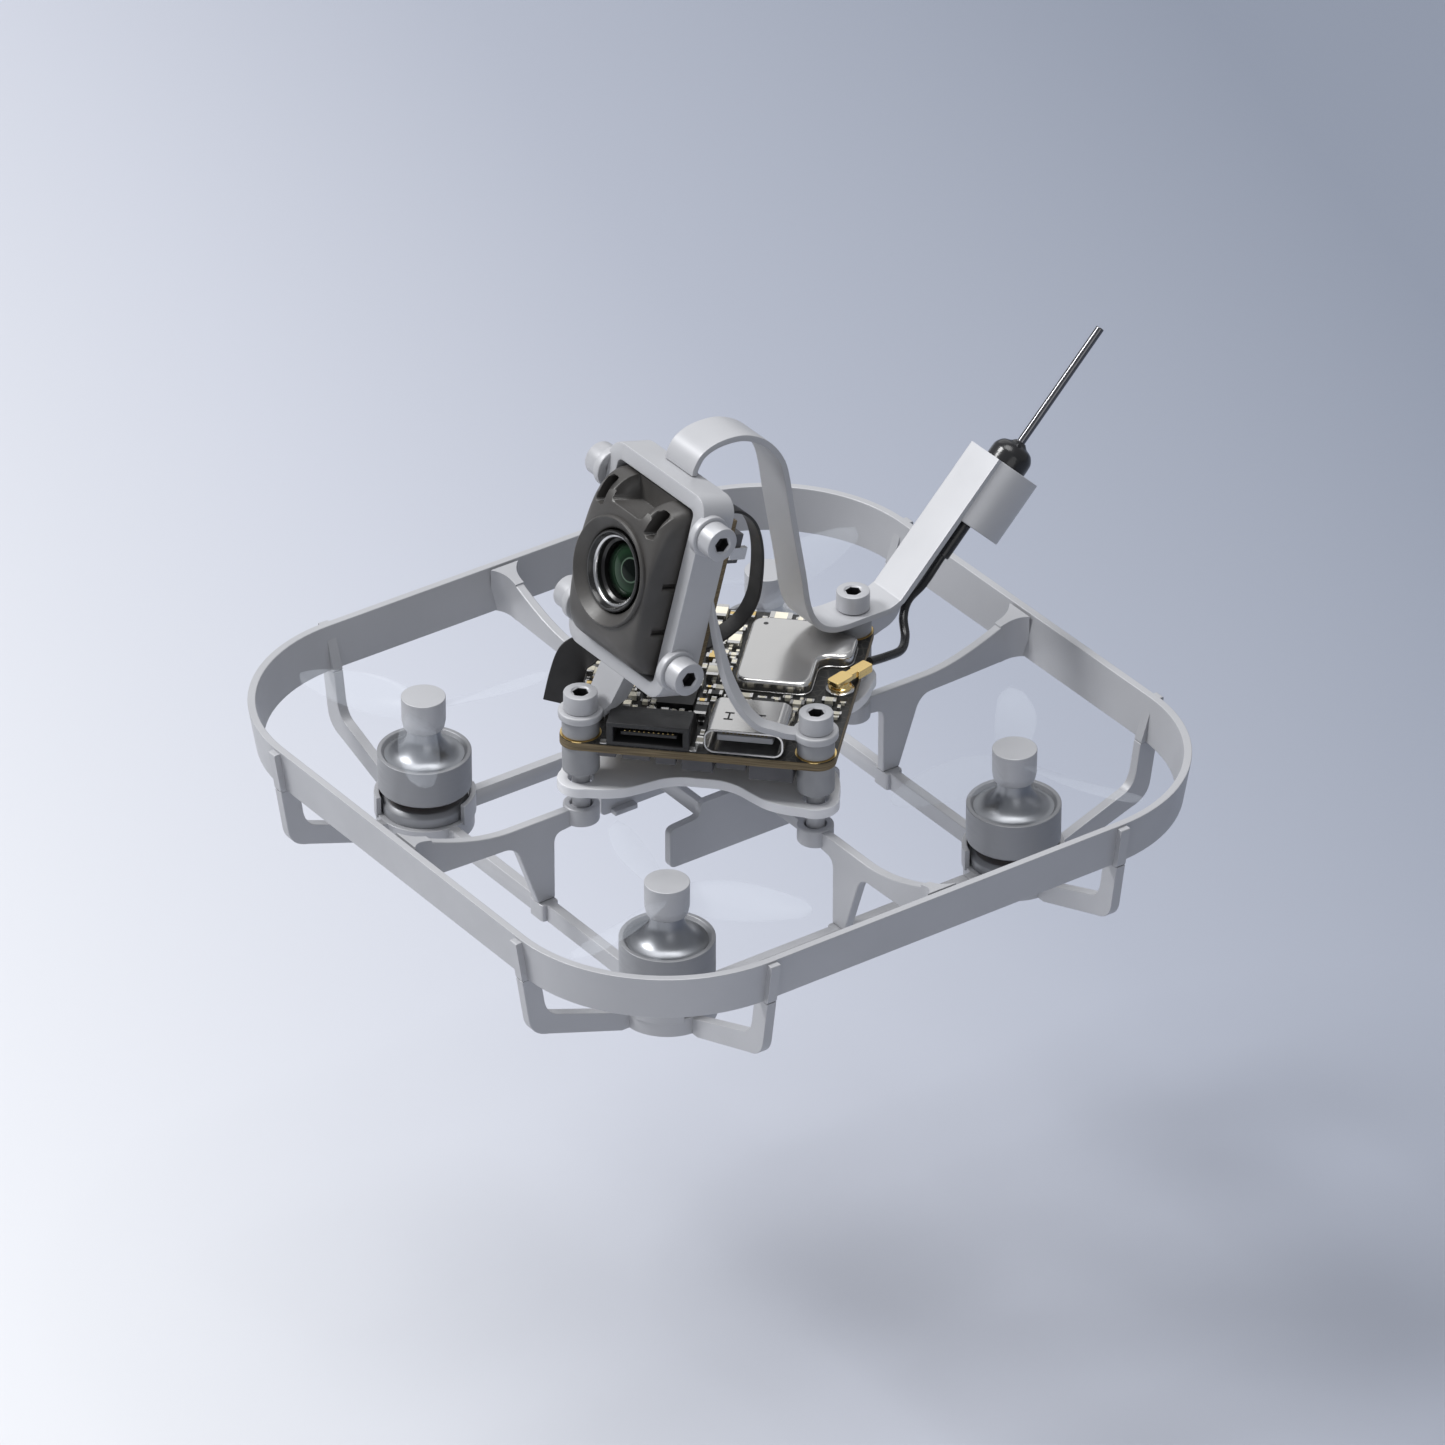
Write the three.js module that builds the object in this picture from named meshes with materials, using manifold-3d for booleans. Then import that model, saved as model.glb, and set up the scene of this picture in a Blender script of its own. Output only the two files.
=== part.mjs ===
// A 65 mm class FPV racing drone: a ducted frame on four motors, a battery cage, a two-board stack,
// and a canopy that holds the camera and the antenna.
//
// Millimetres, +Z up. The nose is towards +X and the left side towards +Y. Heights are measured from
// the underside of the motor mounts, which is where the drone stands. Everything is placed about the
// centre of the duct ring, and the whole drone is then shifted along X so that the origin is the
// middle of its footprint.

import * as THREE from 'three';
import { mergeVertices } from 'three/addons/utils/BufferGeometryUtils.js';
import Module from 'manifold-3d';

const wasm = await Module();
wasm.setup();

// ---------------------------------------------------------------- driving dimensions

const motorPlace = 22.94;                       // motor axes stand at (+-motorPlace, +-motorPlace)
const ringTop = 16.2;                           // top of the duct ring, and of the propeller hubs
const ring = { half: 42.08, corner: 19.04, height: 4.9, flare: 0.81, wall: 0.9 };
const rootLength = 1.8;                         // stub on the ring that each web starts from
const web = { thick: 1.1, flatTop: 12.45, bossTop: 12.6, bossBottom: 10.5, bossRadius: 2.0 };
const rail = { thick: 1.2, height: 2.1, pad: 2.6 };
const mount = { radius: 5.4, stub: 6.3, lugInner: 5.0, lugOuter: 5.6, lugTop: 4.2, lugHalfAngle: 0.5 };
const post = { width: 2.3, out: 0.75, cornerTop: 5.8, elbow: 1.6 };
const cage = { half: 6.5, wall: 1.0, bottom: 5.1, top: 12.0, finger: 10.0, strap: 7.3, long: 11.3 };

const stackHole = 18.03;                        // stack screws stand on the X and Y axes, 25.5 mm apart
const controller = { bottom: 14.6, thick: 1.2, pad: 2.6, dip: 1.4, hole: 1.4 };
const board = { bottom: 20.45, thick: 1.0, half: 15.0, corner: 2.0, hole: 1.7 };
const grommet = { radius: 2.1, neck: 1.4, bore: 1.2, bottom: 16.9, top: 23.5 };
const foot = { thick: 0.9, radius: 2.45, hole: 1.2 };
const screw = { head: 1.9, headHeight: 2.15, shank: 1.0, socket: 0.85, end: 11.0 };

const motor = {
  baseBottom: 2.1, baseTop: 3.7, baseRadius: 4.8,
  tubeRadius: 1.6, tubeBore: 0.95, tubeTop: 7.6,
  statorRadius: 4.15, statorBottom: 4.1, statorTop: 7.2, teeth: 9,
  bellRadius: 5.25, bellInner: 4.5, bellBottom: 4.8, bellTop: 9.33,
  shaftRadius: 0.75, shaftBottom: 2.6, shaftTop: 15.2, fit: 0.05,
};
const prop = { hubRadius: 2.45, skirtRadius: 2.15, hubBottom: 12.1, tip: 15.5, blades: 3, height: 14.2 };

const cameraTilt = THREE.MathUtils.degToRad(15.75);
// The camera group is tilted about the ring's centre at ground level. In it, X is the camera's axis
// and Z runs up its face.
const cradle = { front: 21.01, depth: 4.2, halfWidth: 8.8, bottom: 22.99, top: 46.54, corner: 2.2 };
const cradleWindow = { half: 6.9, sill: 1.6, lintel: 1.85 };
const camera = { half: 6.6, gap: 0.3, lensCentre: 34.79, nose: 3.6, bezel: 6.05, barrel: 4.45 };
const cameraScrew = { front: 19.85, low: 26.99, high: 42.74, head: 1.9, boss: 2.3, bossOut: 0.5, out: 11.4 };

const bow = { width: 5.0, thick: 0.75, footThick: 0.9, armEndX: -35.66, armEndZ: 38.2, armStartX: -22.2 };
const armAngle = THREE.MathUtils.degToRad(45.5);
const sleeve = { outer: 4.2, inner: 2.75, length: 7.8, behind: 4.0 };
const antenna = { collar: 2.4, dome: 2.6, rod: 0.47, reach: 18.1, shrink: 0.8, shrinkEnd: 12.2, lead: 0.5 };

const clearance = 0.3;                          // between pieces that meet on slanted faces

// ---------------------------------------------------------------- finishes

const finish = (color, roughness, metalness) =>
  new THREE.MeshStandardMaterial({ color, roughness, metalness });
const silver = finish(0xaeb1b8, 0.45, 0.35);
const bare = finish(0xc4c6ca, 0.28, 0.9);
const screwGrey = finish(0x9a9da3, 0.4, 0.6);
const black = finish(0x1b1b1d, 0.5, 0.0);
const darkGrey = finish(0x34322f, 0.55, 0.0);
const clearBlade = finish(0xd5d8de, 0.3, 0.0);
const boardBlack = finish(0x22201a, 0.55, 0.0);
const tanEdge = finish(0x8a7347, 0.6, 0.0);
const copper = finish(0x8d5a3a, 0.4, 0.8);
const gold = finish(0xc9a55a, 0.25, 1.0);

// ---------------------------------------------------------------- solid geometry helpers

function solidOf(geometry) {
  const bareGeometry = geometry.clone();
  bareGeometry.deleteAttribute('normal');
  bareGeometry.deleteAttribute('uv');
  const merged = mergeVertices(bareGeometry, 1e-5);
  return new wasm.Manifold(new wasm.Mesh({
    numProp: 3,
    vertProperties: new Float32Array(merged.attributes.position.array),
    triVerts: new Uint32Array(merged.index.array),
  }));
}

function geometryOf(solid) {
  const mesh = solid.getMesh();
  const geometry = new THREE.BufferGeometry();
  geometry.setAttribute('position', new THREE.BufferAttribute(new Float32Array(mesh.vertProperties), 3));
  geometry.setIndex(new THREE.BufferAttribute(new Uint32Array(mesh.triVerts), 1));
  geometry.computeVertexNormals();
  return geometry;
}

const join = (...parts) => geometryOf(parts.map(solidOf).reduce((sum, next) => sum.add(next)));
const cut = (body, ...tools) =>
  geometryOf(tools.map(solidOf).reduce((rest, tool) => rest.subtract(tool), solidOf(body)));

function box(x0, x1, y0, y1, z0, z1) {
  const geometry = new THREE.BoxGeometry(x1 - x0, y1 - y0, z1 - z0);
  return geometry.translate((x0 + x1) / 2, (y0 + y1) / 2, (z0 + z1) / 2);
}

function cylinder(radius, z0, z1, sides = 14) {
  const geometry = new THREE.CylinderGeometry(radius, radius, z1 - z0, sides);
  return geometry.rotateX(Math.PI / 2).translate(0, 0, (z0 + z1) / 2);
}

// A profile of [radius, height] pairs turned about the Z axis.
function turned(profile, sides = 14) {
  const points = profile.map(([radius, height]) => new THREE.Vector2(radius, height));
  return new THREE.LatheGeometry(points, sides).rotateX(Math.PI / 2);
}

const tube = (outer, inner, z0, z1, sides = 14) =>
  turned([[inner, z0], [outer, z0], [outer, z1], [inner, z1], [inner, z0]], sides);

// A shape drawn in plan, raised from z0 to z1.
function plate(shape, z0, z1, curveSegments = 8) {
  const geometry = new THREE.ExtrudeGeometry(shape, { depth: z1 - z0, bevelEnabled: false, curveSegments });
  return geometry.translate(0, 0, z0);
}

// A shape drawn in the X-Z plane, given its thickness along Y about y = middle.
function wall(shape, thick, middle = 0, curveSegments = 8) {
  const geometry = new THREE.ExtrudeGeometry(shape, { depth: thick, bevelEnabled: false, curveSegments });
  return geometry.rotateX(Math.PI / 2).translate(0, middle + thick / 2, 0);
}

// A shape drawn in the Y-Z plane, given its depth along X back from x = front.
function slab(shape, depth, front, curveSegments = 6) {
  const geometry = new THREE.ExtrudeGeometry(shape, { depth, bevelEnabled: false, curveSegments });
  return geometry.rotateX(Math.PI / 2).rotateZ(Math.PI / 2).translate(front - depth, 0, 0);
}

function polygon(points) {
  return new THREE.Shape(points.map(([x, y]) => new THREE.Vector2(x, y)));
}

function roundedRectangle(x0, x1, y0, y1, radius, Kind = THREE.Shape) {
  const shape = new Kind();
  shape.moveTo(x0 + radius, y0);
  shape.lineTo(x1 - radius, y0);
  shape.absarc(x1 - radius, y0 + radius, radius, -Math.PI / 2, 0);
  shape.lineTo(x1, y1 - radius);
  shape.absarc(x1 - radius, y1 - radius, radius, 0, Math.PI / 2);
  shape.lineTo(x0 + radius, y1);
  shape.absarc(x0 + radius, y1 - radius, radius, Math.PI / 2, Math.PI);
  shape.lineTo(x0, y0 + radius);
  shape.absarc(x0 + radius, y0 + radius, radius, Math.PI, 1.5 * Math.PI);
  return shape;
}

// Negative when the faces point inwards.
function enclosedVolume(positions, index) {
  const corner = (i) => new THREE.Vector3().fromArray(positions, 3 * index[i]);
  let volume = 0;
  for (let i = 0; i < index.length; i += 3) {
    volume += corner(i).dot(corner(i + 1).cross(corner(i + 2))) / 6;
  }
  return volume;
}

// Skins a row of sections with equally many points. An open row gets a cap at each end, and a closed
// row runs back to its first section.
function loft(sections, closed = false) {
  const count = sections[0].length;
  const positions = sections.flat().flatMap((point) => [point.x, point.y, point.z]);
  const index = [];
  const last = closed ? sections.length : sections.length - 1;
  for (let row = 0; row < last; row += 1) {
    const here = row * count;
    const next = ((row + 1) % sections.length) * count;
    for (let i = 0; i < count; i += 1) {
      const j = (i + 1) % count;
      index.push(here + i, here + j, next + j, here + i, next + j, next + i);
    }
  }
  if (!closed) {
    const end = (sections.length - 1) * count;
    for (let i = 1; i < count - 1; i += 1) {
      index.push(0, i + 1, i, end, end + i, end + i + 1);
    }
  }
  if (enclosedVolume(positions, index) < 0) {
    index.reverse();
  }
  const geometry = new THREE.BufferGeometry();
  geometry.setAttribute('position', new THREE.Float32BufferAttribute(positions, 3));
  geometry.setIndex(index);
  geometry.computeVertexNormals();
  return geometry;
}

// A flat band that follows a 3-D path. Each station is [x, y, z], and across and face give the
// directions of its width and its thickness there.
function ribbon(stations, width, thick, across, face) {
  return loft(stations.map(([x, y, z], row) => {
    const wide = across(row).clone().multiplyScalar(width / 2);
    const deep = face(row).clone().multiplyScalar(thick / 2);
    const centre = new THREE.Vector3(x, y, z);
    return [[1, 1], [-1, 1], [-1, -1], [1, -1]].map(([a, b]) =>
      centre.clone().addScaledVector(wide, a).addScaledVector(deep, b));
  }));
}

// The outline of a bent strip, from the line along its middle and its thickness at each point.
function strip(middle, thick) {
  const sides = [[], []];
  middle.forEach((point, row) => {
    const before = middle[Math.max(row - 1, 0)];
    const after = middle[Math.min(row + 1, middle.length - 1)];
    const along = new THREE.Vector2().subVectors(after, before).normalize();
    const out = new THREE.Vector2(-along.y, along.x).multiplyScalar(thick(point) / 2);
    sides[0].push(point.clone().add(out));
    sides[1].unshift(point.clone().sub(out));
  });
  return new THREE.Shape([...sides[0], ...sides[1]]);
}

// ---------------------------------------------------------------- names and places

const drone = new THREE.Group();
const quarters = [
  { name: 'front', turn: 0 },
  { name: 'left', turn: Math.PI / 2 },
  { name: 'rear', turn: Math.PI },
  { name: 'right', turn: -Math.PI / 2 },
];
const corners = [
  { name: 'front_left', turn: 0, spin: 1 },
  { name: 'rear_left', turn: Math.PI / 2, spin: -1 },
  { name: 'rear_right', turn: Math.PI, spin: 1 },
  { name: 'front_right', turn: -Math.PI / 2, spin: -1 },
];

function add(name, geometry, material, parent = drone) {
  const mesh = new THREE.Mesh(geometry, material);
  mesh.name = name;
  parent.add(mesh);
  return mesh;
}

const turnedCopy = (geometry, turn) => geometry.clone().rotateZ(turn);
const atMotor = (geometry) => geometry.clone().translate(motorPlace, motorPlace, 0);
const atStackHole = (geometry) => geometry.clone().translate(stackHole, 0, 0);

// ---------------------------------------------------------------- duct ring

function squareOutline(half, corner, height, steps = 8) {
  const points = [];
  const middle = half - corner;
  for (let quarter = 0; quarter < 4; quarter += 1) {
    for (let step = 0; step <= steps; step += 1) {
      const angle = (quarter + step / steps) * (Math.PI / 2);
      const cornerX = quarter === 0 || quarter === 3 ? middle : -middle;
      const cornerY = quarter < 2 ? middle : -middle;
      const x = cornerX + corner * Math.cos(angle);
      const y = cornerY + corner * Math.sin(angle);
      points.push(new THREE.Vector3(x, y, height));
    }
  }
  return points;
}

const ringBottom = ringTop - ring.height;
// How far the ring's wall has leaned in at a height.
const lean = (height) => ring.flare * (ringTop - height) / ring.height;

function ductBand() {
  const outline = (inset, height) => squareOutline(ring.half - inset, ring.corner - inset, height);
  return loft([
    outline(0, ringTop),
    outline(ring.wall, ringTop),
    outline(ring.flare + ring.wall, ringBottom),
    outline(ring.flare, ringBottom),
  ], true);
}

const rootInner = ring.half - ring.flare - ring.wall - rootLength;
const rootOuter = ring.half - ring.flare - ring.wall / 2;
const webTopAtRoot = ringTop - 0.9;

// The stub that a web starts from. Its top falls away from the ring's rim.
function webRoot() {
  const shape = polygon([
    [rootInner, ringBottom - 0.35],
    [rootOuter - 0.1, ringBottom],
    [ring.half - ring.wall / 2, ringTop - 0.02],
    [rootInner, webTopAtRoot],
  ]);
  return wall(shape, web.thick);
}

// The pad outside the ring's wall that a post rises into.
function postPad(side) {
  const top = ringTop - 0.25;
  const outAt = (height) => ring.half + post.out - lean(height);
  const inAt = (height) => outAt(height) - post.width;
  const shape = polygon([
    [inAt(ringBottom), ringBottom],
    [outAt(ringBottom), ringBottom],
    [outAt(top), top],
    [inAt(top) + 0.9, top],
  ]);
  return wall(shape, rail.thick, side * motorPlace);
}

const ringPieces = [ductBand()];
for (const { turn } of quarters) {
  ringPieces.push(turnedCopy(webRoot(), turn), turnedCopy(postPad(1), turn), turnedCopy(postPad(-1), turn));
}
add('duct_ring', join(...ringPieces), silver);

// ---------------------------------------------------------------- webs, from the ring to the stack bosses

const leg = { inner: 21.9, outerTop: 27.3, outerFoot: 24.1 };

function webPanel() {
  const shape = new THREE.Shape();
  shape.moveTo(rootInner, webTopAtRoot);
  shape.quadraticCurveTo(32.0, web.flatTop, 27.6, web.flatTop);
  shape.lineTo(stackHole, web.flatTop);
  shape.lineTo(stackHole, web.bossBottom);
  shape.lineTo(leg.inner - 1.2, web.bossBottom - 0.3);
  shape.quadraticCurveTo(leg.inner, web.bossBottom - 0.3, leg.inner, web.bossBottom - 1.6);
  shape.lineTo(leg.inner, rail.height);
  shape.lineTo(leg.outerFoot, rail.height);
  shape.lineTo(leg.outerTop - 0.8, web.bossBottom - 1.6);
  shape.quadraticCurveTo(leg.outerTop - 0.2, web.bossBottom - 0.2, leg.outerTop + 1.2, web.bossBottom - 0.2);
  shape.quadraticCurveTo(33.0, web.bossBottom - 0.1, rootInner, ringBottom - 0.35);
  return wall(shape, web.thick, 0, 4);
}

// The left and right webs run on inwards to the battery cage.
function webGeometry(reachesCage) {
  const boss = atStackHole(cylinder(web.bossRadius, web.bossBottom, web.bossTop));
  const parts = [webPanel(), boss];
  if (reachesCage) {
    const halfThick = web.thick / 2;
    parts.push(box(cage.half + cage.wall / 2, stackHole, -halfThick, halfThick, web.bossBottom, cage.top));
  }
  return cut(join(...parts), atStackHole(cylinder(foot.hole, web.bossBottom - 0.6, web.bossTop + 1, 12)));
}

quarters.forEach(({ name, turn }, quarter) => {
  add(`web_${name}`, turnedCopy(webGeometry(quarter % 2 === 1), turn), silver);
});

// ---------------------------------------------------------------- lower rails and motor mounts

function railGeometry() {
  const reach = motorPlace - mount.stub;
  const bar = box(motorPlace - rail.thick / 2, motorPlace + rail.thick / 2, -reach, reach, 0, rail.height);
  const landing = box(leg.inner, leg.outerFoot, -rail.pad / 2, rail.pad / 2, 0, rail.height);
  return join(bar, landing);
}

for (const { name, turn } of quarters) {
  add(`rail_${name}`, turnedCopy(railGeometry(), turn), silver);
}

// An arm runs out from the motor, climbs, and turns up as a post under the ring.
function armGeometry() {
  const outAt = (height) => ring.half + post.out - lean(height) - motorPlace;
  const inAt = (height) => outAt(height) - post.width;
  const footOut = mount.stub;
  const elbowOut = outAt(post.cornerTop);
  const shape = new THREE.Shape();
  shape.moveTo(0, 0);
  shape.lineTo(footOut, 0);
  shape.lineTo(elbowOut - 2.6, 3.2);
  shape.quadraticCurveTo(elbowOut - 0.3, 3.7, elbowOut, post.cornerTop);
  shape.lineTo(outAt(ringBottom), ringBottom);
  shape.lineTo(inAt(ringBottom), ringBottom);
  shape.lineTo(inAt(post.cornerTop + post.elbow), post.cornerTop + post.elbow);
  shape.quadraticCurveTo(inAt(post.cornerTop) - 0.1, post.cornerTop, inAt(post.cornerTop) - 1.3, 5.35);
  shape.lineTo(footOut - 0.6, rail.height);
  shape.lineTo(0, rail.height);
  return wall(shape, rail.thick, 0, 4);
}

// A lug is a short curved wall beside the motor's base.
function lugGeometry() {
  const shape = new THREE.Shape();
  shape.absarc(0, 0, mount.lugOuter, -mount.lugHalfAngle, mount.lugHalfAngle, false);
  shape.absarc(0, 0, mount.lugInner, mount.lugHalfAngle, -mount.lugHalfAngle, true);
  return plate(shape, rail.height - 0.4, mount.lugTop, 3);
}

function mountGeometry() {
  const parts = [
    cylinder(mount.radius, 0, rail.height, 20),
    armGeometry(),
    turnedCopy(armGeometry(), Math.PI / 2),
    turnedCopy(lugGeometry(), Math.PI / 4),
    turnedCopy(lugGeometry(), -3 * Math.PI / 4),
    box(-mount.stub, 0, -rail.thick / 2, rail.thick / 2, 0, rail.height),
    box(-rail.thick / 2, rail.thick / 2, -mount.stub, 0, 0, rail.height),
  ];
  const centreHole = cylinder(motor.tubeRadius, -1, rail.height + 1, 12);
  return cut(join(...parts), centreHole);
}

for (const { name, turn } of corners) {
  add(`motor_mount_${name}`, turnedCopy(atMotor(mountGeometry()), turn), silver);
}

// ---------------------------------------------------------------- battery cage

function cageSide(side) {
  const { long, bottom, finger, strap, top } = cage;
  const chamfer = 1.0;
  const outline = [
    [long - chamfer, bottom], [long, bottom + chamfer], [long, finger - chamfer], [long - chamfer, finger],
    [strap, finger + 0.3], [strap, top],
  ];
  const mirrored = outline.map(([x, z]) => [-x, z]).reverse();
  return wall(polygon([...outline, ...mirrored]), cage.wall, side * cage.half);
}

// Two straps join the walls across the top, and a lip at each corner stops the battery dropping out.
function cageGeometry() {
  const strapThick = 0.9;
  const lip = { place: 8.5, half: 1.5, inner: 5.1, outer: 6.1, thick: 0.6 };
  const parts = [cageSide(1), cageSide(-1)];
  for (const end of [1, -1]) {
    const place = end * (cage.strap - strapThick / 2);
    parts.push(box(place - strapThick / 2, place + strapThick / 2, -cage.half, cage.half,
      cage.finger, cage.top));
    for (const side of [1, -1]) {
      const middle = side * (lip.inner + lip.outer) / 2;
      const half = (lip.outer - lip.inner) / 2;
      parts.push(box(end * lip.place - lip.half, end * lip.place + lip.half, middle - half, middle + half,
        cage.bottom, cage.bottom + lip.thick));
    }
  }
  return join(...parts);
}

add('battery_cage', cageGeometry(), silver);

// ---------------------------------------------------------------- motors and propellers

function motorBase() {
  const { baseBottom, baseTop, baseRadius, tubeRadius, tubeBore, tubeTop } = motor;
  return turned([
    [tubeBore, baseBottom], [baseRadius, baseBottom], [baseRadius, baseTop - 0.5],
    [baseRadius - 0.5, baseTop], [tubeRadius, baseTop], [tubeRadius, tubeTop], [tubeBore, tubeTop],
    [tubeBore, baseBottom],
  ]);
}

function statorGeometry() {
  const { statorRadius, statorBottom, statorTop, tubeRadius, fit, teeth } = motor;
  const core = tube(2.4, tubeRadius + fit, statorBottom, statorTop, 18);
  const parts = [core];
  for (let tooth = 0; tooth < teeth; tooth += 1) {
    const arm = box(2.2, statorRadius, -0.75, 0.75, statorBottom + 0.3, statorTop - 0.3);
    parts.push(turnedCopy(arm, (tooth / teeth) * 2 * Math.PI));
  }
  return join(...parts);
}

function bellGeometry() {
  const { bellRadius, bellInner, bellBottom, bellTop, shaftRadius, fit } = motor;
  const neck = prop.hubBottom;
  return turned([
    [shaftRadius + fit, 8.0], [3.6, 7.7], [bellInner, 7.4], [bellInner, bellBottom],
    [bellRadius, bellBottom], [bellRadius, bellTop], [4.6, bellTop], [4.2, 8.45], [3.2, 8.6],
    [2.2, 9.9], [1.8, neck],
    [shaftRadius + fit, neck], [shaftRadius + fit, 8.0],
  ], 18);
}

// One blade: lens-shaped sections, wide in the middle, with less pitch towards the tip.
function bladeGeometry(spin) {
  const stations = 5;
  const around = 6;
  const root = 1.4;
  const sections = [];
  for (let station = 0; station <= stations; station += 1) {
    const along = station / stations;
    const radius = root + (prop.tip - root) * along;
    const chord = 2.4 + 2.6 * Math.sin(Math.PI * Math.min(along * 0.9 + 0.12, 1));
    const pitch = spin * THREE.MathUtils.lerp(0.62, 0.2, along);
    const thick = THREE.MathUtils.lerp(0.9, 0.4, along);
    const sweep = -spin * 1.4 * along * along;
    const section = [];
    for (let i = 0; i < around; i += 1) {
      const angle = (i / around) * 2 * Math.PI;
      const across = (chord / 2) * Math.cos(angle);
      const up = (thick / 2) * Math.sin(angle);
      section.push(new THREE.Vector3(
        radius,
        sweep + across * Math.cos(pitch) - up * Math.sin(pitch),
        prop.height + across * Math.sin(pitch) + up * Math.cos(pitch),
      ));
    }
    sections.push(section);
  }
  return loft(sections);
}

function propellerGeometry(spin) {
  const { hubRadius, skirtRadius, hubBottom, blades } = prop;
  const hub = turned([
    [0, hubBottom], [skirtRadius, hubBottom], [skirtRadius, ringTop - 1.3], [hubRadius, ringTop - 1.0],
    [hubRadius, ringTop], [0, ringTop],
  ], 16);
  const parts = [hub];
  for (let blade = 0; blade < blades; blade += 1) {
    parts.push(turnedCopy(bladeGeometry(spin), (blade / blades) * 2 * Math.PI + 0.35));
  }
  const shaftHole = cylinder(motor.shaftRadius + motor.fit, hubBottom - 1, motor.shaftTop + motor.fit, 12);
  return cut(join(...parts), shaftHole);
}

for (const { name, turn, spin } of corners) {
  const place = (geometry) => turnedCopy(atMotor(geometry), turn);
  const { shaftRadius, shaftBottom, shaftTop } = motor;
  add(`motor_base_${name}`, place(motorBase()), silver);
  add(`motor_stator_${name}`, place(statorGeometry()), copper);
  add(`motor_bell_${name}`, place(bellGeometry()), silver);
  add(`motor_shaft_${name}`, place(cylinder(shaftRadius, shaftBottom, shaftTop, 12)), bare);
  add(`propeller_${name}`, place(propellerGeometry(spin)), clearBlade);
}

// ---------------------------------------------------------------- board stack

const controllerTop = controller.bottom + controller.thick;
const boardTop = board.bottom + board.thick;

// A square plate with a round pad at each screw, and sides that dip in between the pads.
function controllerGeometry() {
  const shape = new THREE.Shape();
  const { pad, dip, hole } = controller;
  const half = stackHole / Math.SQRT2;
  const dipPlace = (half - dip) * Math.SQRT2 / 2;
  for (let quarter = 0; quarter < 4; quarter += 1) {
    const angle = quarter * (Math.PI / 2);
    const turnPoint = (x, y) => [
      x * Math.cos(angle) - y * Math.sin(angle),
      x * Math.sin(angle) + y * Math.cos(angle),
    ];
    const centre = turnPoint(stackHole, 0);
    const padSweep = 1.15;
    shape.absarc(centre[0], centre[1], pad, angle - padSweep, angle + padSweep, false);
    const entry = turnPoint(stackHole - 3.2, 4.6);
    const low = turnPoint(dipPlace, dipPlace);
    const exit = turnPoint(4.6, stackHole - 3.2);
    const next = angle + Math.PI / 2 - padSweep;
    const nextPad = turnPoint(0, stackHole);
    const end = [nextPad[0] + pad * Math.cos(next), nextPad[1] + pad * Math.sin(next)];
    shape.quadraticCurveTo(entry[0], entry[1], low[0], low[1]);
    shape.quadraticCurveTo(exit[0], exit[1], end[0], end[1]);
  }
  const holes = quarters.map(({ turn }) => turnedCopy(
    atStackHole(cylinder(hole, controller.bottom - 1, controllerTop + 1, 12)), turn));
  return cut(plate(shape, controller.bottom, controllerTop, 4), ...holes);
}

function boardGeometry() {
  const { half, corner } = board;
  const shape = roundedRectangle(-half, half, -half, half, corner);
  const sheet = plate(shape, board.bottom, boardTop, 4).rotateZ(Math.PI / 4);
  const holes = quarters.map(({ turn }) => turnedCopy(
    atStackHole(cylinder(board.hole, board.bottom - 1, boardTop + 1, 12)), turn));
  return cut(sheet, ...holes);
}

add('flight_controller', controllerGeometry(), silver);
add('video_board', boardGeometry(), boardBlack);

// Parts on the video board are drawn square to it and turned with it: X points at the edge between
// the front and left screws, and Y at the edge between the left and rear screws.
const onBoard = new THREE.Group();
onBoard.rotation.z = Math.PI / 4;
drone.add(onBoard);

const can = { near: 1.8, far: -11.8, low: 2.0, high: 10.4, corner: 1.2, height: 1.5, wall: 0.4, lid: 0.25 };
const canStep = { near: -4.6, far: -9.9, out: 14.0, corner: 0.8 };

// The can's plan is a rectangle with a tongue that steps out towards the board's edge.
function shieldCan() {
  const { near, far, low, high, corner } = can;
  const outline = new THREE.Shape();
  outline.moveTo(far + corner, low);
  outline.lineTo(near - corner, low);
  outline.absarc(near - corner, low + corner, corner, -Math.PI / 2, 0);
  outline.lineTo(near, high - corner);
  outline.absarc(near - corner, high - corner, corner, 0, Math.PI / 2);
  outline.lineTo(canStep.near + corner, high);
  outline.quadraticCurveTo(canStep.near, high, canStep.near, high + corner);
  outline.lineTo(canStep.near, canStep.out - canStep.corner);
  outline.lineTo(canStep.near - canStep.corner, canStep.out);
  outline.lineTo(canStep.far, canStep.out);
  outline.lineTo(canStep.far, high);
  outline.lineTo(far, high);
  outline.lineTo(far, low + corner);
  outline.absarc(far + corner, low + corner, corner, Math.PI, 1.5 * Math.PI);
  const lid = plate(outline, boardTop, boardTop + can.height, 4);
  const hollow = box(far + can.wall, near - can.wall, low + can.wall, high - can.wall,
    boardTop - 1, boardTop + can.height - can.lid);
  return cut(lid, hollow);
}

const usb = { near: 8.2, far: 14.8, left: 0.9, right: 9.6, height: 3.0, wall: 0.3, deep: 4.6 };
const usbTongue = { left: 2.2, right: 8.6, thick: 0.7, setBack: 1.0, long: 5.0 };

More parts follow.
